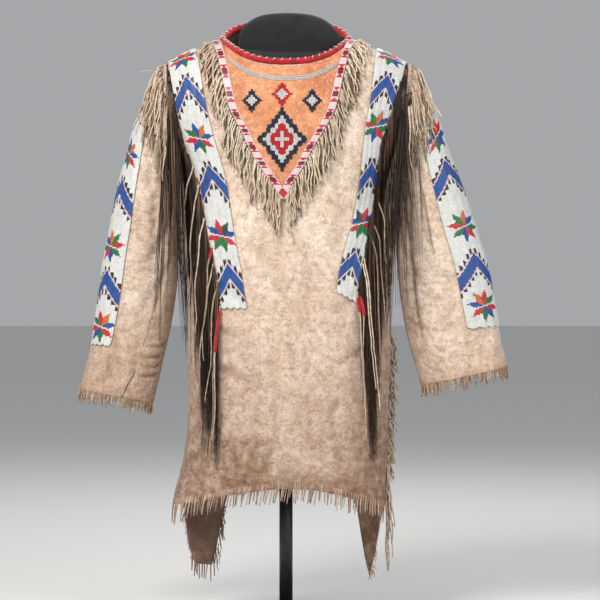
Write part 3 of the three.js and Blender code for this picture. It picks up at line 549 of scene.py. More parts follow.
def on_sleeve(name, n, angle, out=0.0):
    return sleeve_point(name, n, angle, out + sleeve_relief(name, n, angle))


# ---------- meshes ----------


def make_mesh(name, points, faces, material, smooth_faces=True):
    """An object from points in millimetres and faces: a list of integer arrays, one row a face."""
    mesh = bpy.data.meshes.new(name)
    points = np.asarray(points, float).reshape(-1, 3) * MM
    faces = [np.asarray(f, np.int32) for f in faces if len(f)]
    sizes = np.concatenate([np.full(len(f), f.shape[1], np.int32) for f in faces])
    corners = np.concatenate([f.ravel() for f in faces])
    mesh.vertices.add(len(points))
    mesh.vertices.foreach_set("co", points.astype(np.float32).ravel())
    mesh.loops.add(len(corners))
    mesh.loops.foreach_set("vertex_index", corners)
    mesh.polygons.add(len(sizes))
    starts = np.concatenate([[0], np.cumsum(sizes)[:-1]]).astype(np.int32)
    mesh.polygons.foreach_set("loop_start", starts)
    mesh.polygons.foreach_set("use_smooth", np.full(len(sizes), smooth_faces))
    mesh.update(calc_edges=True)
    mesh.validate()
    mesh.materials.append(material)
    obj = bpy.data.objects.new(name, mesh)
    bpy.context.scene.collection.objects.link(obj)
    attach(obj, "root")
    return obj


def point_value(obj, name, values):
    """A number on each vertex that the material reads."""
    layer = obj.data.attributes.new(name, "FLOAT", "POINT")
    layer.data.foreach_set("value", np.asarray(values, np.float32).ravel())


def corner_colour(obj, name, colours):
    """A colour on each face, kept on its corners."""
    sizes = np.zeros(len(obj.data.polygons), np.int32)
    obj.data.polygons.foreach_get("loop_total", sizes)
    rows = np.repeat(colours, sizes, axis=0)
    rgba = np.concatenate([rows, np.ones((len(rows), 1))], 1)
    layer = obj.data.color_attributes.new(name, "FLOAT_COLOR", "CORNER")
    layer.data.foreach_set("color", rgba.astype(np.float32).ravel())


def grid_quads(rows, columns, ring=False, start=0, flip=False):
    r = np.arange(rows - 1)[:, None]
    c = np.arange(columns if ring else columns - 1)[None, :]
    d = (c + 1) % columns
    quads = np.stack([r * columns + c, r * columns + d, (r + 1) * columns + d, (r + 1) * columns + c], -1)
    quads = quads.reshape(-1, 4) + start
    return quads[:, ::-1] if flip else quads


def stitch(fine, coarse, marks):
    """Triangles between a fine line of vertices and a coarse one that meets it at the marks."""
    faces = []
    for k in range(len(coarse) - 1):
        a, b = marks[k], marks[k + 1]
        for m in range(a, b):
            faces.append((fine[m], fine[m + 1], coarse[k]))
        faces.append((fine[b], coarse[k + 1], coarse[k]))
    return faces


def shell(outer, inner, step, ring=False):
    """A closed thin wall: a fine outer grid, and an inner grid that keeps every step-th point.
    Returns points and faces, with the outer grid's points first, and which outer points the inner ones
    lie under."""
    rows, columns = outer.shape[:2]
    keep_r = sorted({*range(0, rows, step), rows - 1})
    keep_c = list(range(0, columns, step)) if ring else sorted({*range(0, columns, step), columns - 1})
    low = inner[np.ix_(keep_r, keep_c)]
    count = rows * columns
    points = np.concatenate([outer.reshape(-1, 3), low.reshape(-1, 3)])
    faces = [grid_quads(rows, columns, ring), grid_quads(len(keep_r), len(keep_c), ring, count, True)]

    def o(r, c):
        return r * columns + (c % columns)

    def i(r, c):
        return count + r * len(keep_c) + (c % len(keep_c))

    marks = keep_c + [columns] if ring else keep_c
    spans = range(columns + 1) if ring else range(columns)
    coarse = range(len(marks))
    rims = stitch([o(0, c) for c in spans], [i(0, c) for c in coarse], marks)
    top = len(keep_r) - 1
    rims += [f[::-1] for f in stitch([o(rows - 1, c) for c in spans], [i(top, c) for c in coarse], marks)]
    if not ring:
        lines = range(rows)
        lows = range(len(keep_r))
        left = stitch([o(r, 0) for r in lines], [i(r, 0) for r in lows], keep_r)
        rims += [f[::-1] for f in left]
        last = len(keep_c) - 1
        rims += stitch([o(r, columns - 1) for r in lines], [i(r, last) for r in lows], keep_r)
    under = (np.array(keep_r)[:, None] * columns + np.array(keep_c)[None, :]).ravel()
    return points, faces + [np.array([f[::-1] for f in rims])], under


def stand_for(node):
    """Hides the part that an object takes the place of."""
    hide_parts(node)


def strand_mesh(name, paths, wide, thick, sides, material, values):
    """Tapering strands. paths is strands x points x 3, wide and thick their half sizes at each point, and
    values what the material reads on each strand."""
    count, stations = paths.shape[:2]
    along = unit(np.gradient(paths, axis=1))
    lead = np.array([0.0, -1.0, 0.0])
    across = unit(np.cross(along, lead))
    out = unit(np.cross(across, along))
    angles = 2 * np.pi * (np.arange(sides) + 0.5) / sides
    ring = (
        across[:, :, None, :] * (np.cos(angles)[None, None, :] * wide[:, :, None])[..., None]
        + out[:, :, None, :] * (np.sin(angles)[None, None, :] * thick[:, :, None])[..., None]
    )
    points = (paths[:, :, None, :] + ring).reshape(-1, 3)
    block = stations * sides
    quads = grid_quads(stations, sides, ring=True)
    starts = np.arange(count) * block
    quads = (quads[None] + starts[:, None, None]).reshape(-1, 4)
    caps = np.arange(sides)[::-1][None] + starts[:, None]
    ends = np.arange(sides)[None] + (starts + block - sides)[:, None]
    obj = make_mesh(name, points, [quads, caps, ends], material)
    for key, value in values.items():
        point_value(obj, key, np.repeat(value, block))
    return obj


# ---------- materials ----------


class Shader:
    """Short names for building a node tree."""

    def __init__(self, name):
        self.material = bpy.data.materials.new(name)
        self.material.use_nodes = True
        self.tree = self.material.node_tree
        self.bsdf = self.tree.nodes["Principled BSDF"]

    def node(self, kind, inputs=(), **settings):
        n = self.tree.nodes.new("ShaderNode" + kind)
        for key, value in settings.items():
            setattr(n, key, value)
        for key, value in dict(inputs).items():
            self.link(value, n.inputs[key])
        return n

    def link(self, value, socket):
        if isinstance(value, bpy.types.NodeSocket):
            self.tree.links.new(value, socket)
        else:
            socket.default_value = value

    def place(self):
        return self.node("TexCoord").outputs["Object"]

    def noise(self, scale, detail=3.0, rough=0.55, stretch=None):
        where = self.place()
        if stretch:
            where = self.node("Mapping", {"Vector": where, "Scale": stretch}).outputs["Vector"]
        inputs = {"Vector": where, "Scale": scale, "Detail": detail, "Roughness": rough}
        return self.node("TexNoise", inputs).outputs["Fac"]

    def value(self, name):
        return self.node("Attribute", attribute_name=name).outputs["Fac"]

    def colour(self, name):
        return self.node("Attribute", attribute_name=name).outputs["Color"]

    def band(self, value, low, high, to_low=0.0, to_high=1.0):
        inputs = {"Value": value, "From Min": low, "From Max": high, "To Min": to_low, "To Max": to_high}
        return self.node("MapRange", inputs).outputs["Result"]

    def times(self, a, b):
        return self.node("Math", {0: a, 1: b}, operation="MULTIPLY").outputs["Value"]

    def blend(self, fac, a, b):
        n = self.node("Mix", data_type="RGBA", blend_type="MIX")
        self.link(fac, n.inputs[0])
        self.link(a, n.inputs[6])
        self.link(b, n.inputs[7])
        return n.outputs[2]

    def bump(self, height, distance, strength=1.0, after=None):
        n = self.node("Bump", {"Height": height, "Distance": distance, "Strength": strength})
        if after is not None:
            self.link(after, n.inputs["Normal"])
        return n.outputs["Normal"]

    def finish(self, base, rough, normal=None, **plain):
        self.link(base, self.bsdf.inputs["Base Color"])
        self.link(rough, self.bsdf.inputs["Roughness"])
        if normal is not None:
            self.link(normal, self.bsdf.inputs["Normal"])
        for key, value in plain.items():
            self.bsdf.inputs[key.replace("_", " ")].default_value = value
        return self.material


def rgb(r, g, b):
    """An sRGB colour, 0 to 255, as Blender's linear one."""
    c = np.array([r, g, b]) / 255
    linear = np.where(c <= 0.04045, c / 12.92, ((c + 0.055) / 1.055) ** 2.4)
    return (*(float(x) for x in linear), 1.0)


def hide_material(name, pale, tan, brown, orange):
    """Smoked hide: clouded tan, with browner stains, small pores and a napped surface, and darker where its
    points ask for grime or painted shade.
    """
    s = Shader(name)
    deep = s.blend(0.5, brown, rgb(60, 42, 32))
    # Each layer: its noise, the band of it that shows, how strong it is and its colour.
    layers = (
        ((11, 6, 0.62), 0.36, 0.62, 1.0, pale),
        ((85, 6, 0.68), 0.44, 0.68, 0.52, brown),
        ((250, 4, 0.7), 0.50, 0.66, 0.38, deep),
        ((160, 5, 0.72), 0.52, 0.66, 0.45, s.blend(0.5, pale, rgb(255, 250, 240))),
        ((24, 5, 0.6, (1.0, 1.0, 0.25)), 0.5, 0.76, 0.3, brown),
        ((30, 5, 0.65, (0.35, 1.0, 2.6)), 0.55, 0.72, 0.28, brown),
        ((17, 4, 0.6), 0.54, 0.72, 0.2, orange),
    )
    base = tan
    for noise, low, high, strength, colour in layers:
        base = s.blend(s.times(s.band(s.noise(*noise), low, high), strength), base, colour)
    worn = s.times(s.value("stain"), s.band(s.noise(34, 5, 0.65), 0.3, 0.62))
    base = s.blend(worn, base, orange)
    # Darker brown where the points ask for it: real grime, and painted shade in crease troughs, in the gaps
    # between thongs and on the sleeves' sides that face the body.
    uneven = s.band(s.noise(64, 6, 0.68), 0.36, 0.64, 0.55, 1.15)
    base = s.blend(s.times(s.value("grime"), uneven), base, brown)
    pores = s.band(s.noise(250, 4, 0.7), 0.46, 0.66, 0.0, 0.4)
    base = s.blend(s.times(s.value("grime"), pores), base, deep)
    # The dark value paints the deepest brown: dark seams and strands, and painted shadow on the back's tabs
    # and their thongs, on the bib fringe's lower layer, in the left cuff's slit and round the small hole.
    base = s.blend(s.times(s.value("dark"), 0.9), base, s.blend(0.5, brown, rgb(36, 26, 20)))
    grain = s.bump(s.noise(900, 3, 0.6), 0.0005, 0.4)
    dimples = s.bump(s.noise(210, 5, 0.68), 0.0022, 0.75, grain)
    soft = s.bump(s.noise(60, 5, 0.6), 0.005, 0.6, dimples)
    rough = s.band(s.noise(60, 3), 0.3, 0.7, 0.82, 0.97)
    return s.finish(base, rough, soft, Sheen_Weight=0.12, Sheen_Roughness=0.6)


def bead_material(name):
    """Opaque glass beads: each face holds its bead's colour."""
    s = Shader(name)
    wear = s.band(s.noise(90, 3), 0.4, 0.7, 0.0, 0.16)
    base = s.blend(wear, s.colour("bead"), rgb(120, 104, 84))
    rough = s.band(s.noise(300, 2), 0.3, 0.7, 0.42, 0.6)
    return s.finish(base, rough, None, Coat_Weight=0.06, Coat_Roughness=0.35)


def wool_material(name):
    s = Shader(name)
    tone = s.band(s.noise(70, 4, 0.6), 0.35, 0.65)
    base = s.blend(tone, rgb(150, 6, 16), rgb(200, 14, 28))
    nap = s.bump(s.noise(700, 4, 0.7), 0.0012, 0.8)
    return s.finish(base, s.band(s.noise(200), 0.3, 0.7, 0.85, 1.0), nap, Sheen_Weight=0.35)


def hair_material(name):
    s = Shader(name)
    tone = s.blend(s.value("shade"), rgb(15, 9, 7), rgb(150, 116, 90))
    return s.finish(tone, s.band(s.noise(120), 0.3, 0.7, 0.42, 0.62), None, Specular_IOR_Level=0.3)


def form_material(name):
    """Matt charcoal jersey."""
    s = Shader(name)
    tone = s.blend(s.band(s.noise(45, 3), 0.35, 0.65), rgb(20, 20, 21), rgb(32, 32, 33))
    wale = s.node("TexWave", {"Vector": s.place(), "Scale": 260.0, "Distortion": 0.6}).outputs["Fac"]
    knit = s.bump(wale, 0.0004, 0.5, s.bump(s.noise(800), 0.0004, 0.5))
    return s.finish(tone, s.band(s.noise(90), 0.3, 0.7, 0.86, 0.98), knit, Sheen_Weight=0.1)


def stand_material(name):
    s = Shader(name)
    tone = s.blend(s.band(s.noise(60, 2), 0.3, 0.7), rgb(22, 22, 23), rgb(34, 34, 35))
    texture = s.bump(s.noise(1500, 2), 0.0002, 0.4)
    return s.finish(tone, s.band(s.noise(200), 0.3, 0.7, 0.38, 0.5), texture)


HIDE_SKIN = hide_material("hide", rgb(252, 232, 212), rgb(230, 202, 176), rgb(134, 98, 74), rgb(184, 126, 88))
THONG = hide_material("thong", rgb(250, 232, 206), rgb(226, 200, 166), rgb(104, 76, 54), rgb(170, 116, 76))
OCHRE = rgb(230, 160, 112), rgb(204, 124, 80), rgb(164, 92, 54), rgb(196, 90, 46)
BIB_SKIN = hide_material("ochre_hide", *OCHRE)
BEADS = bead_material("beads")
WOOL = wool_material("wool")
HAIR = hair_material("hair")
FORM_CLOTH = form_material("form_cloth")
STAND = stand_material("stand_metal")

WHITE = (0.66, 0.67, 0.645)
PINK = (0.70, 0.50, 0.52)
BLUE = (0.005, 0.066, 0.28)
BLACK = (0.010, 0.010, 0.013)
RED = (0.54, 0.010, 0.024)
MAROON = (0.17, 0.003, 0.012)
PINK_WHITE = (0.68, 0.56, 0.56)
GREEN = (0.006, 0.15, 0.040)
DARK_GREEN = (0.006, 0.06, 0.040)
ORANGE = (0.56, 0.13, 0.016)
NAVY = (0.010, 0.016, 0.045)
PALE_BLUE = (0.52, 0.58, 0.60)


# ---------- the shirt's hide ----------


def panel_grid(side):
    """The panel as rows of heights by columns across, with how far its creases stand out from its plain
    face."""
    columns, low_rows, arm_rows, over_rows = 156, 150, 18, 36
    neck_x = NECK["half"] * np.cos(np.radians([0, 4, 9, 14, 18, 22, 27, 36, 45, 54, 63, 72]))
    needed = [-1.0, 1.0]
    for x in [*neck_x, *(-neck_x)]:
        needed.append(float(step_of(across_of(x, neck_turn(side, x)))))
    if side == BACK:
        needed += [float(step_of(across_of(x, HEM_LEVEL))) for x in HEM[BACK]["x"]]
    spare = 0.35 * 2 / columns
    places = list(needed)
    for t in np.linspace(-1, 1, columns):
        if min(abs(t - other) for other in needed) > spare:
            places.append(float(t))
    u = across_at(np.array(sorted(set(np.round(places, 5)))))
    hem, top = hem_of(side, u), panel_top(side, u)
    rows = [mix(hem, ARMPIT, k / low_rows) for k in range(low_rows + 1)]
    rows += [np.full(u.shape, mix(ARMPIT, YOKE, k / arm_rows)) for k in range(1, arm_rows + 1)]
    rows += [mix(YOKE, top, k / over_rows) for k in range(1, over_rows + 1)]
    h = np.array(rows)
    u = np.broadcast_to(u, h.shape)
    x = x_of(u, h)
    relief = crease_depth(side, x, h) * (1 - smooth(0.9, 1, np.abs(u)))
    points = body_point(side, u, h)
    normals = body_normal(side, u, h)
    return points, normals, relief, x, h, np.broadcast_to(hem, h.shape)


def hide_values(obj, under, **values):
    """Values for the hide's colour (stains, grime and painted shade) on the outer points, and the same on the
    inner points below them.
    """
    for name, value in values.items():
        flat = np.asarray(value).ravel()
        point_value(obj, name, np.concatenate([flat, flat[under]]))


def make_panel(side, name, node):
    points, normals, out, x, h, hem = panel_grid(side)
    outer = points + normals * out[..., None]
    inner = points + normals * (out - HIDE)[..., None]
    corners, faces, under = shell(outer, inner, 4)
    if side == BACK:
        faces = [f[:, ::-1] for f in faces]
    obj = make_mesh(name, corners, faces, HIDE_SKIN)
    above_hem = h - hem
    stain = 0.20 * (1 - smooth(5, 45, above_hem)) + 0.12 * (1 - smooth(60, 190, above_hem))
    aside = np.abs(across_of(x, h))
    low = 1 - smooth(230, 780, h)
    # Painted shade darkens the crease troughs. The hide is also darker towards the sides and the bottom, near
    # the hem and on the front's patch.
    grime = 0.34 * np.clip(-out / 2.2, 0, 1) + 0.36 * smooth(0.45, 0.97, aside)
    grime = grime + 0.54 * low * (0.7 + 0.5 * aside)
    grime = grime + 0.34 * (1 - smooth(0, 60, above_hem))
    dark = np.zeros(h.shape)
    if side == FRONT:
        patch = smooth(-118, -108, x) * (1 - smooth(-28, -18, x))
        patch = patch * smooth(242, 256, h) * (1 - smooth(330, 344, h))
        grime = grime + 0.34 * patch
    else:
        # The back's leg tabs are painted dark: painted shadow, since they hang in shade behind the front.
        dark = (1 - smooth(-118, -104, x)) * (1 - smooth(170, 240, h)) * mix(0.35, 0.95, smooth(92, 150, h))
        dark = dark + 0.3 * smooth(110, 125, x) * (1 - smooth(60, 130, h))
    hide_values(obj, under, stain=stain, grime=np.clip(grime, 0, 1), dark=dark)
    stand_for(node)


def make_sleeve(name):
    lines, around = 210, 132
    n = np.linspace(0, LAST_RING, lines)[:, None] * np.ones((1, around))
    angle = np.linspace(0, 2 * np.pi, around, endpoint=False)[None, :] * np.ones((lines, 1))
    relief = sleeve_relief(name, n, angle)
    outer = sleeve_point(name, n, angle, relief)
    inner = sleeve_point(name, n, angle, relief - HIDE)
    corners, faces, under = shell(outer, inner, 4, ring=True)
    if name == "right":
        faces = [f[:, ::-1] for f in faces]
    obj = make_mesh(f"shirt_sleeve_{name}", corners, faces, HIDE_SKIN)
    stain = 0.34 * smooth(10.4, LAST_RING, n) + 0.14 * smooth(8, 10, n)
    facing_body = np.clip(-np.cos(angle), 0, 1) ** 2
    at_cuff, even = {"left": (0.30, 0.20), "right": (0.12, 0.06)}[name]
    # Painted shade in the crease troughs and on the side that faces the body. The hide is also darker towards
    # the cuff, and a little darker all over on the left.
    grime = at_cuff * smooth(7.5, LAST_RING, n) + 0.5 * np.clip(-relief / 3, 0, 1) + 0.30 * facing_body + even
    hide_values(obj, under, stain=stain, grime=np.clip(grime, 0, 1), dark=0 * n)
    stand_for(f"sleeve_{name}")


# ---------- the bib ----------


def bib_x(k, h):
    return mix(read(BIB, "z", "left", h), read(BIB, "z", "right", h), k)


def bib_top(k):
    """The height of the bib's upper edge: the neckline between the neck points, else the shoulder."""
    top = np.full(np.shape(k), RIDGE)
    inside = np.abs(bib_x(k, top)) < NECK["half"]
    for _ in range(8):
        top = np.where(inside, neck_turn(FRONT, bib_x(k, top)), RIDGE)
    return top - 3


def make_bib():
    places = np.linspace(0, 1, 84)
    low, over = 50, 36
    top = bib_top(places)
    rows = [np.full(places.shape, mix(BIB["z"][0], YOKE, r / low)) for r in range(low + 1)]
    rows += [mix(YOKE, top, r / over) for r in range(1, over + 1)]
    h = np.array(rows)
    x = bib_x(np.broadcast_to(places, h.shape), h)
    wave = 0.35 * np.sin(x * 0.09 + 1) * np.sin(h * 0.07)
    outer = on_body(FRONT, x, h, BIB_LAID + BIB_WALL + wave)
    inner = on_body(FRONT, x, h, BIB_LAID + wave)
    corners, faces, under = shell(outer, inner, 3)
    obj = make_mesh("bib_flap", corners, faces, BIB_SKIN)
    edge = 1 - smooth(0, 14, np.minimum(x - bib_x(0, h), bib_x(1, h) - x))
    hide_values(obj, under, stain=0.3 * edge, grime=0.25 * edge, dark=0 * h)
    stand_for("bib")


# ---------- beadwork ----------


LANE_NOTCH = 1.6  # how many rows of beads the gap between lanes is cut in at a strip's ends


def bead_sheet(name, surface, rows, columns, lanes, pattern, node, base=STRIP_BACKING, arch=0.7):
    """A sheet of beads sewn in lanes. surface(f, s, out) gives points for f across and s along, both 0 to 1.
    pattern(row, column) gives each bead's colour. Each bead is two by two faces with its crown raised."""
    i = np.arange(rows * 2 + 1)
    j = np.arange(columns * 2 + 1)
    f, s = np.meshgrid(j / (columns * 2), i / (rows * 2))
    notch = LANE_NOTCH * (1 - np.abs(np.sin(np.pi * lanes * f))) / rows
    near_end = np.clip(1 - s * rows / 3, 0, 1) - np.clip(1 - (1 - s) * rows / 3, 0, 1)
    s = s + notch * near_end * (lanes > 1)
    odd_i, odd_j = (i % 2)[:, None], (j % 2)[None, :]
    crown = 0.5 * odd_i * odd_j + 0.33 * odd_i * (1 - odd_j) + 0.06 * (1 - odd_i) * odd_j
    lane = np.abs(np.sin(np.pi * lanes * f)) ** 0.6
    wobble = 0.12 * np.sin(s * rows * 1.7 + f * 9) * np.sin(f * columns * 0.9)
    outer = surface(f, s, LAID + base + arch * lane + crown + wobble)
    inner = surface(f, s, LAID + 0 * f)
    corners, faces, _ = shell(outer, inner, 8)
    obj = make_mesh(name, corners, faces, BEADS)
    r, c = np.meshgrid(np.arange(rows), np.arange(columns), indexing="ij")
    beads = pattern(r, c)
    chance = np.random.default_rng(rows * 31 + columns)
    beads = beads * (1 + 0.05 * chance.normal(0, 1, r.shape))[..., None]
    beads = np.clip(beads * (1 + 0.02 * chance.normal(0, 1, (*r.shape, 3))), 0, 1)
    per_face = np.repeat(np.repeat(beads, 2, axis=0), 2, axis=1).reshape(-1, 3)
    rest = sum(len(x) for x in faces) - len(per_face)
    backing = np.tile(np.array([[0.5, 0.4, 0.28]]), (rest, 1))
    corner_colour(obj, "bead", np.concatenate([per_face, backing]))
    stand_for(node)


def paint(colours, where, colour):
    colours[where] = colour


def chevron(colours, across, along, apex, slope):
    """A blue chevron with its apex up, pale lines along both edges and dark stepped teeth outside them.
    across is the distance from the strip's middle and along the distance up it, in millimetres."""
    w = np.abs(across)
    below = apex - slope * w - along
    band, line = CHEVRON["band"], CHEVRON["line"]
    q = ((w / CHEVRON["pitch"]) % 1.0 - CHEVRON["gap"]) / (1 - CHEVRON["gap"])
    inside = q > 0
    q = np.ceil(np.clip(q, 0, 1) * 3) / 3
    tall = slope * CHEVRON["pitch"] * CHEVRON["tooth"]
    paint(colours, (below > 0) & (below < band), BLUE)
    paint(colours, (below > 0) & (below < line), PINK)
    paint(colours, (below > band - line) & (below < band), PINK)
    paint(colours, inside & (below < 0) & (-below < tall * q + 2.2), BLACK)
    paint(colours, inside & (below > band) & (below - band < tall * (4 / 3 - q) + 1.6), BLACK)


def star(colours, across, along, middle, radius, petals):
    """Eight petals, four above and four below a slightly slanted pale line, from left to right."""
    a = math.radians(STAR["slant"])
    x = across * math.cos(a) + (along - middle) * math.sin(a)
    y = -across * math.sin(a) + (along - middle) * math.cos(a)
    above = [157.5, 112.5, 67.5, 22.5]
    below = [-157.5, -112.5, -67.5, -22.5]
    for degrees, colour in zip(above + below, petals):
        t = math.radians(degrees)
        p = (x * math.cos(t) + y * math.sin(t)) / radius
        off = np.abs(-x * math.sin(t) + y * math.cos(t)) / radius
        half = STAR["half"] * np.minimum(p / 0.42, (1 - p) / 0.58) + 0.015
        paint(colours, (p > 0.04) & (p < 1) & (off < half), colour)
    paint(colours, (np.abs(y) < 1.2) & (np.abs(x) < radius * 0.85), WHITE)


PETALS = {
    "a": (BLUE, ORANGE, BLUE, GREEN, RED, GREEN, BLUE, RED),
    "b": (BLUE, DARK_GREEN, RED, BLUE, RED, GREEN, GREEN, RED),
    "c": (RED, GREEN, ORANGE, BLUE, GREEN, BLUE, RED, GREEN),
    "d": (BLUE, ORANGE, RED, GREEN, RED, GREEN, BLUE, RED),
    "e": (BLUE, GREEN, RED, RED, RED, GREEN, BLUE, BLUE),
}

# Motifs up each strip: a chevron or one of the stars above, and the height on the front where it sits. A
# chevron is placed by its apex.
MOTIFS = {
    "chest_left": [("chevron", 645), ("b", 688), ("chevron", 816), ("a", 860), ("chevron", 973), ("d", 1006)],
    "chest_right": [
        *(("chevron", 666), ("b", 712), ("chevron", 824)),
        *(("c", 880), ("chevron", 976), ("e", 1008)),
    ],
    "arm_left": [("d", 530), ("chevron", 633), ("c", 673), ("chevron", 796), ("a", 838)],
    "arm_right": [("d", 566), ("chevron", 666), ("c", 708), ("chevron", 828), ("e", 868)],
}
# Down the back, in millimetres from the shoulder line: the first apex, the next, and the star after each.
BACK_MOTIFS = {"first": 48.0, "pitch": 171.0, "star": 128.0}
CHEVRON = {"band": 34.0, "line": 4.0, "pitch": 7.6, "gap": 0.2, "tooth": 0.9, "chest": 1.5, "arm": 1.25}
STAR = {"radius": 30.0, "half": 0.24, "slant": 13.0}


def strip_pattern(name, line, widths, columns, peak):
    """Colours of a strip's beads. line holds the centre line's points, one a row, and peak is the row
    nearest the shoulder line, past which the strip goes down the back."""
    along_row = run_of(line)
    heights = line[: peak + 1, 2]

    def pattern(r, c):
        across = (c + 0.5 - columns / 2) / columns * widths[r]
        along = along_row[r]
        colours = np.tile(np.array(WHITE), (*r.shape, 1))
        sign = 1 if name.endswith("left") else -1
        placed = []
        for kind, height in MOTIFS[name]:
            row = int(np.argmin(np.abs(heights - height)))
            placed.append((kind, along_row[row]))
        if name.startswith("chest"):
            for k, kind in enumerate("cba"):
                apex = along_row[peak] + BACK_MOTIFS["first"] + BACK_MOTIFS["pitch"] * k
                placed.append(("chevron", apex))
                if apex + BACK_MOTIFS["star"] + STAR["radius"] < along_row[-1]:
                    placed.append((kind, apex + BACK_MOTIFS["star"]))
        for kind, at in sorted(placed, key=lambda motif: motif[0] != "chevron"):
            flipped = at > along_row[peak] + 5
            x, up = (-across, 2 * at - along) if flipped else (across, along)
            if kind == "chevron":
                chevron(colours, x, up, at, CHEVRON[name.split("_")[0]])
            else:
                star(colours, -sign * x, up, at, STAR["radius"], PETALS[kind])
        return colours

    return pattern


def by_length(plain, places):
    """The same surface by the share of its length, and how long it is up to each of its places."""
    run = run_of(plain(0.5, places, np.full(places.shape, 3.0)))

    def surface(f, s, out):
        return plain(f, np.interp(s * run[-1], run, places), out)

    return surface, run


def chest_surface(name):
    rows = CHEST[name]
    start = rows["z"][0]
    front_span, back_span = RIDGE - start, RIDGE - CHEST_BACK_END

    def plain(f, q, out):
        """q is the run of h from the front end over the shoulder line to the back end."""
        f, q, out = np.broadcast_arrays(f, q, out)
        on_back = q > front_span
        h = np.where(on_back, RIDGE - (q - front_span), start + q)
        inward = mix(CHEST_BACK_PULL, 1, np.clip((h - YOKE) / (RIDGE - YOKE), 0, 1))
        x = mix(read(rows, "z", "near", h), read(rows, "z", "far", h), f) * np.where(on_back, inward, 1)
        drop = CHEST_SLANT[name] * f * (1 - smooth(start, start + 130, h))
        front = on_body(FRONT, x, h - drop, out)
        back = on_body(BACK, x, h, out)
        return np.where(on_back[..., None], back, front)

    q = np.linspace(0, front_span + back_span, 1200)
    surface, run = by_length(plain, q)
    return surface, run[-1], float(np.interp(front_span, q, run)) / run[-1]


def arm_surface(name):
    places = ARM[name]
    first, last = places["ring"][0], places["ring"][-1]

    def plain(f, n, out):
        outer = read_straight(places, "ring", "outer", n)
        inner = read_straight(places, "ring", "inner", n)
        return on_sleeve(name, n, np.radians(mix(outer, inner, f)), out)

    surface, run = by_length(plain, np.linspace(last, first, 800))
    return surface, run[-1], 1.0


def make_strip(name, surface, length, peak, columns, flip):
    bead_row = 2.15
    rows = int(round(length / bead_row))
    s = (np.arange(rows) + 0.5) / rows

    def facing(f, ss, out):
        return surface(1 - f if flip else f, ss, out)

    line = facing(0.5, s, np.full(rows, 3.0))
    left = facing(0.0, s, np.full(rows, 3.0))
    right = facing(1.0, s, np.full(rows, 3.0))
    widths = np.linalg.norm(left - right, axis=1)
    pattern = strip_pattern(name, line, widths, columns, int(min(rows - 1, peak * rows)))
    node = name.replace("chest", "chest_strip").replace("arm", "arm_strip")
    bead_sheet(f"beaded_strip_{name}", facing, rows, columns, 4, pattern, node)


def make_strips():
    for side in ("left", "right"):
        surface, length, peak = chest_surface(side)
        make_strip(f"chest_{side}", surface, length, peak, 32, side == "left")
        surface, length, peak = arm_surface(side)
        make_strip(f"arm_{side}", surface, length, peak, 28, side == "right")


def make_edging(side):
    """The bib's edging: pale blocks, and dark red squares each between two small triangles."""
    wide = 12.0
    length = 345.0
    rows, columns = 172, 9
    period = 35.0
    square, gap, triangle = 4.7, 0.2, 6.2

    def surface(f, s, out):
        h = mix(BIB["z"][0] + 0.6, RIDGE - 9, s)
        left, right = read(BIB, "z", "left", h), read(BIB, "z", "right", h)
        slope = (read(BIB, "z", "left", h + 5) - read(BIB, "z", "left", h - 5)) / 10
        across = np.minimum(wide * np.hypot(1, slope), (right - left) / 2 - SEAM)
        x = left + across * f if side == "left" else right - across * (1 - f)
        return on_body(FRONT, x, h, out + BIB_LAID + BIB_WALL + 0.6 - LAID)

    def pattern(r, c):
        along = r / rows * length
        from_square = np.abs((along + 12) % period - period / 2)
        f = (c + 0.5) / columns
        w = np.abs(f - 0.5)
        colours = np.tile(np.array(PINK_WHITE), (*r.shape, 1))
        paint(colours, (from_square < square) & (w < 0.44), MAROON)
        past = (from_square - square - gap) / triangle
        paint(colours, (past > 0) & (past < 1) & (w < 0.46 * past + 0.06), RED)
        inner = (1 - f if side == "left" else f) * wide
        tip = np.abs(along - 11) / 11.5 + inner / 10 < 1
        paint(colours, along < 24, PINK_WHITE)
        paint(colours, tip, RED)
        return colours

    node = f"bib_border_{side}"
    bead_sheet(f"bib_edging_{side}", surface, rows, columns, 1, pattern, node, 0.5, 0.5)


def beads_at(name, points, colours, size):
    """Single round beads at points, in millimetres."""
    ball, ball_faces = small_ball()
    corners = (points[:, None, :] + ball[None] * size).reshape(-1, 3)
    faces = (ball_faces[None] + (np.arange(len(points)) * len(ball))[:, None, None]).reshape(-1, 3)
    obj = make_mesh(name, corners, [faces], BEADS)
    corner_colour(obj, "bead", np.repeat(colours, len(ball_faces), axis=0))


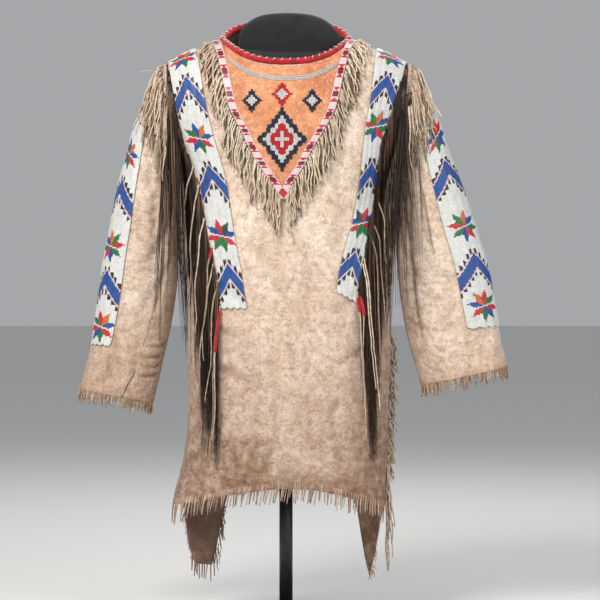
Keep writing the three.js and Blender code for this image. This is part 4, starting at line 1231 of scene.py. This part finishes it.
def make_bib_design():
    """Beadwork on the bib: a stepped diamond with a cross in it, and three small diamonds that hang from
    pale lanes which follow the neckline."""
    chance = np.random.default_rng(71)
    pitch = 1.9
    across, up = np.meshgrid(np.arange(-50, 51) * pitch, np.arange(-40, 70) * pitch)
    across, up = across.ravel(), up.ravel()
    colours = np.full((len(across), 3), -1.0)

    def diamond(x0, z0, half_x, half_z, colour):
        step = 2 * pitch
        x = np.round(np.abs(across - x0) / step) * step
        z = np.round(np.abs(up - z0) / step) * step
        paint(colours, x / half_x + z / half_z < 1, colour)

    diamond(0, 0, 42, 54, NAVY)
    diamond(0, 0, 31, 40, WHITE)
    diamond(0, 0, 22, 28, RED)
    cross = ((np.abs(across) < 2) & (np.abs(up) < 15)) | ((np.abs(up) < 2) & (np.abs(across) < 13))
    paint(colours, cross, WHITE)
    for x0, z0, colour in ((-52, 68, NAVY), (52, 68, NAVY), (0, 78, RED)):
        diamond(x0, z0, 17, 20, colour)
        diamond(x0, z0, 8, 10, WHITE)
    used = colours[:, 0] >= 0
    top = BIB_LAID + BIB_WALL + 0.7
    # The rows are evenly spaced along the hide, which leans back below the neck.
    middle_x, middle_z = -6.0, 856.0
    heights = np.linspace(760, 1010, 126)
    rise = run_of(on_body(FRONT, np.full(heights.shape, middle_x), heights, top))
    h = np.interp(up[used] + np.interp(middle_z, heights, rise), rise, heights)
    x = across[used] + middle_x
    points = [on_body(FRONT, x, h, top + 0.1 * chance.normal(0, 1, len(x)))]
    shades = [colours[used]]
    for below, colour in ((17.5, PALE_BLUE), (19.4, WHITE), (21.3, PALE_BLUE)):
        x = np.arange(-99.0, 91.0, 1.6)
        points.append(on_body(FRONT, x, neck_turn(FRONT, x) - below, top))
        shades.append(np.tile(np.array(colour), (len(x), 1)))
    colours = np.concatenate(shades)
    colours = colours * (1 + 0.08 * chance.normal(0, 1, (len(colours), 1)))
    beads_at("bib_design", np.concatenate(points), np.clip(colours, 0, 1), 1.22)


# ---------- the neck binding ----------


def neck_line(count):
    """The centre of the roll along both necklines, with its inward and upward directions."""
    angle = np.linspace(0, 2 * np.pi, count, endpoint=False)
    x = NECK["half"] * np.cos(angle)
    at = np.zeros((count, 3))
    normal = np.zeros((count, 3))
    for side in (FRONT, BACK):
        mine = (angle < np.pi) if side == FRONT else (angle >= np.pi)
        h = neck_turn(side, x[mine])
        u = across_of(x[mine], h)
        normal[mine] = body_normal(side, u, h)
        at[mine] = body_point(side, u, h) - normal[mine] * HIDE / 2
    smoothing = 5
    for _ in range(smoothing):
        normal = unit(normal + 0.5 * (np.roll(normal, 1, 0) + np.roll(normal, -1, 0)))
    along = unit(np.roll(at, -1, 0) - np.roll(at, 1, 0))
    inward = unit(np.cross(normal, along))
    aim = np.stack([-at[:, 0], -at[:, 1], np.full(count, 40.0)], 1)
    inward = np.where((inward * aim).sum(1, keepdims=True) < 0, -inward, inward)
    outward = np.cross(inward, along)
    outward = unit(np.where((outward * normal).sum(1, keepdims=True) < 0, -outward, outward))
    return at + inward * (NECK["roll"] + NECK["clear"]), inward, outward


def make_binding():
    count, around = 420, 18
    centre, inward, up = neck_line(count)
    angle = np.linspace(0, 2 * np.pi, around, endpoint=False)
    wave = 1 + 0.05 * np.sin(np.arange(count) * 2 * np.pi * 60 / count)
    ring = (
        inward[:, None, :] * np.cos(angle)[None, :, None] + up[:, None, :] * np.sin(angle)[None, :, None]
    ) * (1.1 * NECK["roll"] * wave)[:, None, None]
    points = (centre[:, None, :] + ring).reshape(-1, 3)
    quads = grid_quads(count + 1, around, ring=True) % (count * around)
    obj = make_mesh("neck_roll", points, [quads[:, ::-1]], WOOL)
    stand_for("neck_binding")
    # White beads sewn slantwise over the roll's upper side.
    step = np.linalg.norm(np.roll(centre, -1, 0) - centre, axis=1)
    turns, per_turn = int(step.sum() / 12), 26
    k = np.arange(turns * per_turn)
    twist = 2 * np.pi * k / per_turn
    k = k[np.cos(twist - math.radians(50)) > 0.5]
    twist = 2 * np.pi * k / per_turn
    station = k / (turns * per_turn) * count
    i0 = station.astype(int) % count
    i1 = (i0 + 1) % count
    f = (station % 1)[:, None]
    radius = 1.1 * NECK["roll"] + 0.4
    middle = mix(centre[i0], centre[i1], f)
    middle = middle + (inward[i0] * np.cos(twist)[:, None] + up[i0] * np.sin(twist)[:, None]) * radius
    beads_at("neck_beads", middle, np.tile(np.array([WHITE]), (len(middle), 1)), 1.0)


def small_ball():
    """A twenty-sided ball of radius 1."""
    g = (1 + math.sqrt(5)) / 2
    points = [(-1, g, 0), (1, g, 0), (-1, -g, 0), (1, -g, 0), (0, -1, g), (0, 1, g)]
    points += [(0, -1, -g), (0, 1, -g), (g, 0, -1), (g, 0, 1), (-g, 0, -1), (-g, 0, 1)]
    faces = [(0, 11, 5), (0, 5, 1), (0, 1, 7), (0, 7, 10), (0, 10, 11), (1, 5, 9), (5, 11, 4), (11, 10, 2)]
    faces += [(10, 7, 6), (7, 1, 8), (3, 9, 4), (3, 4, 2), (3, 2, 6), (3, 6, 8), (3, 8, 9), (4, 9, 5)]
    faces += [(2, 4, 11), (6, 2, 10), (8, 6, 7), (9, 8, 1)]
    return unit(np.array(points, float)), np.array(faces)


# ---------- fringe ----------


def make_bib_fringe(side):
    """Wavy thongs from under the bib's edge, which meet below its point."""
    rng = np.random.default_rng(11 if side == "left" else 12)
    under, over, stations = 52, 66, 14
    count = under + over
    lower = np.arange(count) < under
    sign = SIGN[side]
    s = np.concatenate([rng.uniform(0, 1, under), np.linspace(0, 1, over - 8), rng.uniform(0.9, 1, 8)])
    s = np.clip(s + rng.normal(0, 0.006, count), 0, 1)
    h0 = mix(1034.0, BIB["z"][0] + 3, s)
    x0 = read(BIB, "z", side, h0) + sign * mix(1.5, 0.2, smooth(0.85, 1, s))
    length = rng.uniform(46, 68, count) * mix(0.95, 1.08, s)
    sway = sign * (mix(19, 1, s) + rng.normal(0, 2.2, count))
    lift = np.where(lower, rng.uniform(2.8, 3.6, count), rng.uniform(5.4, 9.5, count))
    f = np.linspace(0, 1, stations)[None, :]
    steep = np.where(h0 > YOKE, 1.5, 1.0)[:, None]
    h = h0[:, None] - length[:, None] * f / steep
    phase = rng.uniform(0, 2 * np.pi, (count, 1))
    waves = rng.uniform(0.7, 1.7, (count, 1))
    swing = 2.5 * np.sin(phase + waves * 2 * np.pi * f) * np.clip(f * 2.5, 0, 1)
    x = x0[:, None] + sway[:, None] * f**0.7 + swing
    out = lift[:, None] + 1.8 * np.sin(phase * 1.7 + waves * 5.1 * f) * f
    paths = on_body(FRONT, x, h, np.maximum(out, 2.6))
    wide = mix(1.95, 1.3, f) * rng.uniform(0.8, 1.15, (count, 1))
    thick = np.full((count, stations), 1.0) * rng.uniform(0.8, 1.2, (count, 1))
    tone = rng.uniform(0, 1, count)
    # The lower layer is painted dark, as painted shadow in the gaps between the upper thongs. The upper
    # thongs differ in tone at random.
    grime = np.where(lower, 0.9, 0.35 * tone**2)
    values = {"grime": grime, "stain": 0.15 * tone, "dark": np.where(lower, 0.55, 0)}
    obj = strand_mesh(f"bib_thongs_{side}", paths, wide, thick, 4, THONG, values)
    stand_for(f"bib_fringe_{side}")


def make_hem_fringe(side, name, node, x_from, x_to, pitch, long, seed):
    rng = np.random.default_rng(seed)
    count = int(abs(x_to - x_from) / pitch)
    x0 = np.linspace(x_from, x_to, count) + rng.normal(0, 0.4, count)
    u = across_of(x0, np.full(count, HEM_LEVEL))
    hem = hem_of(side, u)
    stations = 5
    f = np.linspace(0, 1, stations)[None, :]
    length = long * rng.uniform(0.7, 1.25, count) * (1 + 0.4 * smooth(0.8, 1, np.abs(u)))
    h = hem[:, None] + 11 - (length[:, None] + 11) * f
    lean_x = rng.normal(0, 2.4, count)[:, None] * f
    x = x_of(u[:, None], h) + lean_x
    curl = rng.normal(0, 2.6, count)[:, None] * f**1.5
    uu = across_of(x, h)
    paths = body_point(side, uu, h) + body_normal(side, uu, h) * (curl - 0.1)[..., None]
    wide = mix(2.5, 1.2, f) * rng.uniform(0.7, 1.15, (count, 1))
    thick = np.full((count, stations), 0.8)
    shade = rng.uniform(0, 1, count)
    dark = np.full(count, 0.6 if "left" in name else 0.0) + 0.3 * shade**4
    # The thongs are darkened as painted shade of the gaps between them, more or less at random. Those of the
    # left tab are darker still, as painted shadow of the tab, which hangs in shade.
    values = {"grime": 0.4 + 0.5 * shade, "stain": rng.uniform(0, 0.5, count), "dark": dark}
    obj = strand_mesh(name, paths, wide, thick, 4, HIDE_SKIN, values)
    stand_for(node)


def make_tab_thongs():
    """Thin thongs and shreds down the cut sides of the two tabs."""
    rng = np.random.default_rng(24)
    sides = (
        (-186, 200, -164, 104, -1, 30),
        (-112, 214, -126, 108, 1, 30),
        (146, 118, 155, 80, -1, 8),
        (166, 128, 158, 80, 1, 9),
    )
    root, reach, long, shade = [], [], [], []
    for x0, z0, x1, z1, way, count in sides:
        f = rng.uniform(0, 1, count)
        root.append(np.stack([mix(x0, x1, f) - way * 2.0, mix(z0, z1, f)], -1))
        reach.append(way * rng.uniform(-1, 7, count))
        long.append(rng.uniform(14, 34, count) * (1 if x0 < 0 else 0.55))
        shade.append(rng.uniform(0.2, 1, count) * (1 if x0 < 0 else 0.6))
    root, reach, long, shade = (np.concatenate(v) for v in (root, reach, long, shade))
    stations = 8
    f = np.linspace(0, 1, stations)[None, :]
    phase = rng.uniform(0, 6.3, (len(root), 1))
    x = root[:, :1] + reach[:, None] * f**0.7 + 1.6 * np.sin(phase + 6 * f) * f
    z = root[:, 1:] - long[:, None] * f
    at = body_point(BACK, across_of(root[:, :1], root[:, 1:]), root[:, 1:])[..., 1]
    y = at + 0.5 + 1.5 * np.sin(phase * 2 + 5 * f) * f - rng.uniform(0, 3, (len(root), 1)) * f
    paths = np.stack([x, y, z], -1)
    wide = mix(1.5, 0.7, f) * rng.uniform(0.7, 1.2, (len(root), 1))
    # Their darkness is painted shadow of the tabs, which hang in shade behind the front. It varies at random
    # from thong to thong and is weaker on the right tab.
    values = {"grime": shade, "stain": 0.4 * shade, "dark": 0.8 * shade**2}
    thongs = strand_mesh("tab_side_thongs", paths, wide, 0.6 * wide, 4, THONG, values)


def make_cuff_fringe(name):
    rng = np.random.default_rng(31 if name == "left" else 32)
    count, stations = 136, 5
    angle = np.linspace(0, 2 * np.pi, count, endpoint=False)
    base = sleeve_point(name, np.full(count, LAST_RING), angle, -HIDE / 2)
    down = base - sleeve_point(name, np.full(count, 10.6), angle, -HIDE / 2)
    down = unit(down + np.array([0, 0, -6.0]))
    round_about = unit(np.roll(base, -1, 0) - np.roll(base, 1, 0))
    outward = unit(np.cross(round_about, down))
    f = np.linspace(0, 1, stations)[None, :, None]
    length = (19 * rng.uniform(0.7, 1.25, count))[:, None, None]
    swing = rng.normal(0, 2.0, count)[:, None, None]
    curl = rng.normal(0, 2.2, count)[:, None, None]
    paths = base[:, None, :] + down[:, None, :] * (-3 + (length + 3) * f)
    paths = paths + round_about[:, None, :] * swing * f + outward[:, None, :] * curl * f**1.5
    wide = mix(1.6, 1.1, f[..., 0]) * rng.uniform(0.8, 1.15, (count, 1))
    thick = np.full((count, stations), 0.8)
    shade = rng.uniform(0, 1, count)
    values = {"grime": 0.1 + 0.6 * shade, "stain": rng.uniform(0.2, 0.9, count), "dark": 0.4 * shade**4}
    obj = strand_mesh(f"cuff_thongs_{name}", paths, wide, thick, 4, THONG, values)
    stand_for(f"cuff_fringe_{name}")


def make_side_fringe():
    """Cut and looped fringe down the right side seam, with long thongs from its lower end."""
    rng = np.random.default_rng(41)
    count, stations = 110, 12
    s = np.sort(rng.uniform(0, 1, count))
    h0 = mix(530.0, 236.0, s)
    tail = smooth(0.72, 0.93, s)
    length = mix(rng.uniform(18, 44, count), rng.uniform(80, 168, count), tail)
    f = np.linspace(0, 1, stations)[None, :]
    reach = mix(rng.uniform(4, 15, count), rng.uniform(0, 16, count), tail)[:, None]
    wave = 2.4 * np.sin(rng.uniform(0, 6, (count, 1)) + rng.uniform(6, 12, (count, 1)) * f) * f
    x = side_x(True, h0)[:, None] - 1 + reach * np.sqrt(f) + wave
    y = rng.normal(0, 4.0, (count, 1)) * f + 2.0 * np.sin(rng.uniform(0, 6, (count, 1)) + 7 * f) * f
    z = h0[:, None] - length[:, None] * f
    paths = np.stack([x, y, z], -1)
    wide = mix(1.7, 1.1, f) * rng.uniform(0.8, 1.2, (count, 1))
    thick = np.full((count, stations), 0.9)
    shade = rng.uniform(0, 1, count)
    values = {"grime": 0.7 * shade, "stain": rng.uniform(0, 0.3, count), "dark": 0.7 * shade**3}
    obj = strand_mesh("side_thongs_right", paths, wide, thick, 4, THONG, values)
    stand_for("side_fringe_right")


def make_shoulder_fringe(name):
    """Twisted thongs in a bunch from the top of the armhole, over the head of the sleeve."""
    sign = SIGN[name]
    rng = np.random.default_rng(51 if name == "left" else 52)
    count, stations = 64, 14
    place = rng.uniform(0, 1, count)
    angle = np.radians(mix(8, 84, place))
    n = rng.uniform(0.1, 0.55, count)
    root = sleeve_point(name, n, angle, 1.0)
    f = np.linspace(0, 1, stations)[None, :]
    length = (rng.uniform(62, 128, count) * mix(0.85, 1.1, place))[:, None]
    reach = (mix(36, 4, place) * rng.uniform(0.5, 1.25, count))[:, None]
    phase = rng.uniform(0, 6.3, (count, 1))
    twist = 3.0 * np.sin(phase + rng.uniform(5, 12, (count, 1)) * f) * f
    x = root[:, None, 0] + sign * reach * f**0.8 + twist
    z = root[:, None, 2] - length * f + 7 * np.sin(np.pi * np.clip(f * 3, 0, 1))
    z = z - (0.5 * reach) * f
    front = np.minimum(root[:, None, 1] - 7, mix(-50, -64, place)[:, None]) - rng.uniform(0, 8, (count, 1))
    y = mix(root[:, None, 1] - 2, front, np.sqrt(f)) + 1.6 * np.sin(phase * 2 + 9 * f) * f
    paths = np.stack([x, y, z], -1)
    wide = mix(2.0, 1.2, f) * rng.uniform(0.75, 1.25, (count, 1))
    thick = np.full((count, stations), 1.1)
    tone = rng.uniform(0, 1, count)
    values = {"grime": 0.8 * tone, "stain": rng.uniform(0, 0.3, count), "dark": 0.75 * tone**4}
    obj = strand_mesh(f"shoulder_thongs_{name}", paths, wide, thick, 4, THONG, values)
    stand_for(f"shoulder_fringe_{name}")


def lock_paths(rng, root, tip, stations, swing, each, spread):
    """Bunches of hairs round a line from each root to its tip. The bunch is widest half way down."""
    locks = len(root)
    f = np.linspace(0, 1, stations)[None, :, None]
    phase = rng.uniform(0, 6.3, (locks, 1, 1))
    line = mix(root[:, None, :], tip[:, None, :], f)
    side_step = np.array([1.0, 0.35, 0.0])
    line = line + side_step * swing * np.sin(phase + rng.uniform(3.0, 5.5, (locks, 1, 1)) * f) * f**0.7
    turn_angle = rng.uniform(0, 6.3, (locks, each))
    radius = np.sqrt(rng.uniform(0, 1, (locks, each))) * spread
    offset = np.stack([radius * np.cos(turn_angle), 0.8 * radius * np.sin(turn_angle), 0 * radius], -1)
    profile = 0.5 + 0.8 * np.sin(np.pi * np.linspace(0, 1, stations)) ** 0.8
    stray = rng.normal(0, 1.6, (locks, each, 1, 1)) * f[:, None] ** 2 * np.array([1.0, 0.5, 0.0])
    paths = line[:, None] + offset[:, :, None, :] * profile[None, None, :, None] + stray
    short = rng.uniform(0.72, 1.0, (locks, each, 1, 1))
    z = root[:, None, None, 2] - (root[:, None, None, 2] - paths[..., 2]) * short[..., 0]
    paths[..., 2] = z
    return paths.reshape(locks * each, stations, 3)


def make_hair(name):
    """Long dark locks along the outer edge of a chest strip, and a few from the shoulder."""
    sign = SIGN[name]
    rng = np.random.default_rng(61 if name == "left" else 62)
    locks, each, stations = 32, 17, 17
    low = 585 if name == "left" else 640
    s = np.linspace(0, 1, locks)
    h0 = mix(1014.0, low, s) + rng.normal(0, 2, locks)
    x0 = read(CHEST[name], "z", "far", h0) + sign * rng.uniform(2.5, 5, locks)
    root = on_body(FRONT, x0, h0, 3.2)
    tip_z = np.maximum(h0 - rng.uniform(300, 440, locks), rng.uniform(238, 330, locks))
    fan = rng.uniform(0, 1, locks)
    inner, outer = {"left": (-122.0, -176.0), "right": (148.0, 192.0)}[name]
    tip_x = mix(outer, inner, np.clip(0.55 * s + 0.45 * fan, 0, 1))
    reach = np.clip((h0 - tip_z) / (h0 - 250), 0, 1)
    tip_x = mix(x0, tip_x, reach)
    tip = np.stack([tip_x, np.full(locks, -112.0), tip_z], -1)
    paths = lock_paths(rng, root, tip, stations, 4.5, each, 2.0)
    # From the shoulder, over the head of the sleeve.
    few = 11 if name == "left" else 8
    head = sleeve_point(name, rng.uniform(0.2, 0.6, few), np.radians(rng.uniform(56, 118, few)), 4.0)
    out_step = sign * rng.uniform(-12, 18, few)
    end = head + np.stack([out_step, -rng.uniform(16, 26, few), -rng.uniform(150, 400, few)], -1)
    paths = np.concatenate([paths, lock_paths(rng, head, end, stations, 4.0, each // 3, 1.1)])
    count = len(paths)
    f = np.linspace(0, 1, stations)[None, :]
    # The hair falls forward over the strip's edge, most of all on the right.
    forward = (5.0 if name == "left" else 15.0) * rng.uniform(0, 1, (count, 1)) ** 1.4
    paths[..., 0] -= sign * forward * smooth(0, 0.10, f) * (1 - 0.6 * smooth(0.45, 1.0, f))
    z = paths[..., 2]
    over_body = on_body(FRONT, paths[..., 0], np.clip(z, 212, 1005), 6.0)
    beside = np.abs(paths[..., 0]) > np.abs(side_x(name == "right", np.clip(z, 30, YOKE))) - 6
    drape = over_body[..., 1] - 9 * np.sin(np.pi * f) * rng.uniform(0.1, 1, (count, 1))
    away = smooth(0.0, 0.12, f)
    y = np.where(beside, np.minimum(paths[..., 1], -62), np.minimum(drape, over_body[..., 1]))
    high = z > YOKE
    y = np.where(high, np.minimum(over_body[..., 1] - 1, paths[..., 1]), y)
    paths[..., 1] = mix(paths[..., 1], y, away)
    wide = mix(0.72, 0.2, f**1.5) * rng.uniform(0.7, 1.25, (count, 1))
    tones = np.array([0.03, 0.08, 0.14, 0.30, 0.55, 0.9])
    per_lock = rng.choice(tones, locks, p=[0.32, 0.27, 0.17, 0.11, 0.08, 0.05])
    shade = np.concatenate([np.repeat(per_lock, each), rng.choice(tones[:4], count - locks * each)])
    shade = np.clip(shade * rng.uniform(0.5, 1.5, count) + rng.uniform(0, 0.06, count), 0, 1)
    obj = strand_mesh(f"hair_locks_{name}", paths, wide, wide, 3, HAIR, {"shade": shade})
    stand_for(f"hair_{name}")


# Thongs that hang from a chest strip's edge: root and tip, and where red wool is wrapped round them.
HANGING = {
    "left": table(
        "x0 z0 x1 z1 wrap0 wrap1",
        (-150, 780, -163, 560, 0, 0),
        (-141, 720, -152, 520, 0, 0),
        (-128, 668, -137, 470, 668, 650),
        (-118, 612, -131, 398, 0, 0),
        (-113, 566, -124, 330, 558, 486),
        (-114, 560, -129, 300, 0, 0),
        (-160, 812, -176, 640, 0, 0),
        (-125, 640, -146, 420, 0, 0),
    ),
    "right": table(
        "x0 z0 x1 z1 wrap0 wrap1",
        (158, 760, 172, 560, 0, 0),
        (146, 700, 160, 470, 0, 0),
        (133, 640, 148, 420, 0, 0),
        (128, 592, 132, 400, 584, 548),
        (124, 592, 133, 330, 580, 556),
        (150, 720, 168, 520, 0, 0),
        (135, 650, 156, 380, 0, 0),
    ),
}


def make_hanging(name):
    """The pale twisted thongs among the hair, some of them wrapped with red wool."""
    rows = HANGING[name]
    rng = np.random.default_rng(81 if name == "left" else 82)
    count, stations = len(rows["x0"]), 26
    f = np.linspace(0, 1, stations)[None, :]
    phase = rng.uniform(0, 6.3, (count, 1))
    x = mix(rows["x0"][:, None], rows["x1"][:, None], f) + 2.6 * np.sin(phase + 7 * f) * f
    z = mix(rows["z0"][:, None], rows["z1"][:, None], f)
    out = 4.0 + 11 * smooth(0, 0.2, f) + 1.5 * np.sin(phase + 11 * f)
    paths = on_body(FRONT, x, z, out)
    wide = mix(1.5, 0.9, f) * (1 + 0.18 * np.sin(80 * f + phase))
    shade = rng.uniform(0, 1, count)
    values = {"grime": 0.6 * shade, "stain": 0.2 * shade, "dark": 0.15 * shade}
    obj = strand_mesh(f"hanging_thongs_{name}", paths, wide, 0.8 * wide, 5, THONG, values)
    wrapped = np.nonzero(rows["wrap0"])[0]
    wraps = []
    for k in wrapped:
        heights = np.linspace(rows["wrap0"][k], rows["wrap1"][k], 14)
        wraps.append(np.stack([np.interp(-heights, -paths[k, :, 2], paths[k, :, i]) for i in range(3)], -1))
    paths = np.array(wraps)
    ribs = 2.9 + 0.3 * np.sin(np.linspace(0, 14 * np.pi, 14))[None, :] * np.ones((len(wrapped), 1))
    wool = strand_mesh(f"wool_wraps_{name}", paths, ribs, ribs, 8, WOOL, {})


# ---------- seams and mends ----------

# Seams on the front and the back: both ends and the half width of the sewn ridge.
SEAMS = {
    FRONT: table("x0 z0 x1 z1 wide", (-31, 322, -23, 240, 1.1)),
    BACK: table("x0 z0 x1 z1 wide", (40, 420, 96, 380, 0.8)),
}
# Seams and slits on the sleeves: ring and angle of both ends, and how dark each is.
SLEEVE_SEAMS = {
    "left": table(
        "n0 a0 n1 a1 wide dark",
        (6.0, 130, 9.2, 113, 0.8, 0.3),
        # This slit is painted fully dark, as painted shade in its opening.
        (9.95, 110, 11, 99, 1.1, 1.0),
        (0.6, 182, 11, 182, 1.0, 0.4),
    ),
    "right": table(
        "n0 a0 n1 a1 wide dark",
        (1.2, 132, 8.8, 134, 1.0, 0.5),
        (4.4, 101, 6.6, 98, 0.9, 0.5),
        (0.6, 182, 11, 182, 1.0, 0.4),
    ),
}


def make_seams():
    """Sewn ridges, slits, whip stitches and a small hole."""
    ridges, widths, darks = [], [], []
    stations = 40
    t = np.linspace(0, 1, stations)
    for side, rows in SEAMS.items():
        for x0, z0, x1, z1, wide in zip(*rows.values()):
            wander = 0.9 * np.sin(t * 17)
            ridges.append(on_body(side, mix(x0, x1, t) + wander, mix(z0, z1, t) + wander, 0.2))
            widths.append(np.full(stations, wide))
            darks.append(0.12)
    for name, rows in SLEEVE_SEAMS.items():
        for n0, a0, n1, a1, wide, dark in zip(*rows.values()):
            angle = np.radians(mix(a0, a1, t) + 0.5 * np.sin(t * 9))
            ridges.append(on_sleeve(name, mix(n0, n1, t), angle, 0.15))
            widths.append(np.full(stations, wide))
            darks.append(dark)
    for right in (False, True):
        h = np.linspace(812, 225, stations)
        x = side_x(right, h) + (0.4 if right else -0.4)
        ridges.append(np.stack([x, 0 * h, h], -1))
        widths.append(np.full(stations, 1.3))
        darks.append(0.3)
    widths = np.array(widths)
    darks = np.array(darks)
    values = {"grime": 0.4 + 0.3 * darks, "stain": 0 * darks, "dark": darks}
    seams = strand_mesh("sewn_seams", np.array(ridges), widths, 0.7 * widths, 5, THONG, values)
    stitches = []
    for name in ("left", "right"):
        for angle in np.linspace(0, 2 * np.pi, 92, endpoint=False):
            a = sleeve_point(name, 0.09, angle, 0.5)
            b = sleeve_point(name, 0.0, angle + 0.03, 0.7)
            stitches.append([a, b])
    stitches = np.array(stitches)
    plain = np.full(stitches.shape[:2], 0.5)
    even = np.zeros(len(stitches))
    values = {"grime": even + 0.5, "stain": even, "dark": even + 0.4}
    strand_mesh("sinew_stitches", stitches, plain, plain, 4, THONG, values)
    # A small hole, drawn as a raised ring painted fully dark: painted shade in its opening.
    angle = np.linspace(0, 2 * np.pi, 14)
    hole = on_body(FRONT, -72 + 2.0 * np.cos(angle), 256 + 2.4 * np.sin(angle), 0.15)[None]
    rim = np.full(hole.shape[:2], 0.55)
    values = {"grime": np.ones(1), "stain": np.zeros(1), "dark": np.ones(1)}
    strand_mesh("small_hole_rim", hole, rim, rim, 5, THONG, values)
    f = np.linspace(0, 1, 12)[:, None]
    root, tip = np.array([-222.0, -14, 986]), np.array([-262.0, -30, 983])
    quill = mix(root, tip, f) + np.array([0, 0, 3.0]) * np.sin(3 * f)
    thin = mix(0.9, 0.3, f[:, 0])[None]
    values = {"grime": np.zeros(1), "stain": np.zeros(1), "dark": np.zeros(1)}
    strand_mesh("loose_quill", quill[None], thin, thin, 5, THONG, values)


# ---------- the dress form ----------


def form_point(side, u, h):
    x = x_of(u, h)
    on_shoulder = smooth(YOKE, RIDGE, h)
    near_neck = 1 - smooth(NECK["half"] - 10, NECK["half"] + 30, np.abs(x))
    ease = HIDE + mix(FORM["ease"], FORM["shoulderEase"], on_shoulder)
    ease = ease + FORM["neckEase"] * near_neck * on_shoulder + 0.8
    return body_point(side, u, h, 0.0) - body_normal(side, u, h, 0.0) * ease[..., None]


def capped_rings(lines, around):
    """Faces of a closed body made of rings, with a cap on the first and on the last."""
    first = np.arange(around)[::-1][None]
    last = np.arange(around)[None] + (lines - 1) * around
    return [grid_quads(lines, around, ring=True), first, last]


def lathe(name, profile, sides, material, node):
    """A closed body turned round the Z axis from a profile of (radius, height)."""
    profile = np.array(profile, float)
    angle = np.linspace(0, 2 * np.pi, sides, endpoint=False)
    r, z = profile[:, 0][:, None], profile[:, 1][:, None]
    points = np.stack([r * np.cos(angle), r * np.sin(angle), z * np.ones(sides)], -1).reshape(-1, 3)
    obj = make_mesh(name, points, capped_rings(len(profile), sides), material)
    stand_for(node)


def make_form():
    h = np.concatenate([np.linspace(FORM["bottom"], ARMPIT, 26), np.linspace(ARMPIT, YOKE, 12)[1:]])
    h = np.concatenate([h, np.linspace(YOKE, RIDGE, 22)[1:]])[:, None]
    u = across_at(np.linspace(-1, 1, 56))[None, :]
    front = form_point(FRONT, *np.broadcast_arrays(u, h))
    back = form_point(BACK, *np.broadcast_arrays(u, h))[:, ::-1]
    rings = np.concatenate([front, back], 1)
    body = make_mesh("form_body", rings.reshape(-1, 3), capped_rings(*rings.shape[:2]), FORM_CLOTH)
    stand_for("form_torso")
    z = np.concatenate([np.linspace(1008, 1088, 34), 1092 - 4 * np.linspace(1, 0, 8)[1:] ** 2])
    around = 72
    angle = np.linspace(0, 2 * np.pi, around, endpoint=False)
    half, deep, mid = (read(STUMP, "z", k, z)[:, None] for k in ("half", "deep", "mid"))
    close = np.sqrt(np.clip((1093 - z) / 5, 0, 1))[:, None]
    half, deep = half * np.minimum(1, 0.2 + close), deep * np.minimum(1, 0.2 + close)
    level = z[:, None] * np.ones(around)
    points = np.stack([mid + half * np.cos(angle), -3 + deep * np.sin(angle), level], -1)
    neck = make_mesh("form_neck", points.reshape(-1, 3), capped_rings(len(z), around), FORM_CLOTH)
    stand_for("form_torso")
    post, base, plate = FORM["post"], FORM["base"], FORM["plate"]
    lathe("stand_post", [(post, plate), (post, FORM["bottom"])], 48, STAND, "form_post")
    rim = [(base - 1.5, 0), (base, 1.5), (base, plate - 5), (base - 1.5, plate - 2), (base - 5, plate)]
    collar = [(34, plate), (33, plate + 0.2), (30, plate + 0.2), (5, plate + 0.2)]
    lathe("stand_base", [(5, 0), *rim, *collar], 96, STAND, "form_base")


# ---------- the room ----------


def area_light(name, at, aim, size, power, colour):
    light = bpy.data.lights.new(name, "AREA")
    light.energy, light.size, light.color = power, size, colour
    obj = bpy.data.objects.new(name, light)
    obj.location = at
    obj.rotation_euler = (Vector(aim) - Vector(at)).to_track_quat("-Z", "Y").to_euler()
    bpy.context.scene.collection.objects.link(obj)


def make_room():
    s = Shader("floor")
    material = s.finish(rgb(222, 222, 220), 0.9)
    radius, sides = 40.0, 64
    angle = np.linspace(0, 2 * np.pi, sides, endpoint=False)
    rim = np.stack([radius * np.cos(angle), radius * np.sin(angle), 0 * angle], -1) / MM
    obj = make_mesh("floor", rim, [np.arange(sides)[None]], material, False)
    world = bpy.data.worlds.new("studio")
    world.use_nodes = True
    world.node_tree.nodes["Background"].inputs["Color"].default_value = (0.9, 0.92, 0.95, 1)
    world.node_tree.nodes["Background"].inputs["Strength"].default_value = 0.42
    bpy.context.scene.world = world
    middle = (0.0, 0.0, 0.62)
    area_light("key", (-1.3, -2.2, 2.7), middle, 1.1, 92, (1.0, 0.965, 0.93))
    area_light("fill", (2.2, -2.2, 1.6), middle, 1.6, 30, (0.95, 0.97, 1.0))
    area_light("back", (0.4, 2.0, 2.6), middle, 1.5, 30, (1.0, 1.0, 1.0))


def make_camera():
    """Level, at the height of the shirt's middle, framing 1.08 m at the shirt's own distance."""
    distance, framed, sensor = 3.5, 1.08, 36.0
    across, height = 0.0252, 0.5766
    camera = bpy.data.cameras.new("camera")
    camera.sensor_width = sensor
    camera.lens = sensor * distance / framed
    camera.clip_end = 50
    obj = bpy.data.objects.new("camera", camera)
    obj.location = (across, -distance, height)
    obj.rotation_euler = (math.pi / 2, 0, 0)
    bpy.context.scene.collection.objects.link(obj)
    bpy.context.scene.camera = obj


# ---------- assembly ----------

bpy.context.scene.view_settings.view_transform = "Standard"
bpy.context.scene.view_settings.look = "None"

make_camera()
make_room()
make_form()
make_panel(FRONT, "shirt_front", "front")
make_panel(BACK, "shirt_back", "back")
for part in ("left", "right"):
    make_sleeve(part)
    make_edging(part)
    make_bib_fringe(part)
    make_cuff_fringe(part)
    make_shoulder_fringe(part)
    make_hair(part)
    make_hanging(part)
make_bib()
make_bib_design()
make_strips()
make_binding()
make_hem_fringe(FRONT, "hem_thongs_front", "hem_fringe_front", -204, 176, 4.4, 22, 21)
make_hem_fringe(BACK, "hem_thongs_back", "hem_fringe_back", -108, 106, 4.4, 20, 22)
make_hem_fringe(BACK, "tab_thongs_left", "tab_fringe_left", -166, -124, 4.2, 28, 23)
make_tab_thongs()
make_side_fringe()
make_seams()
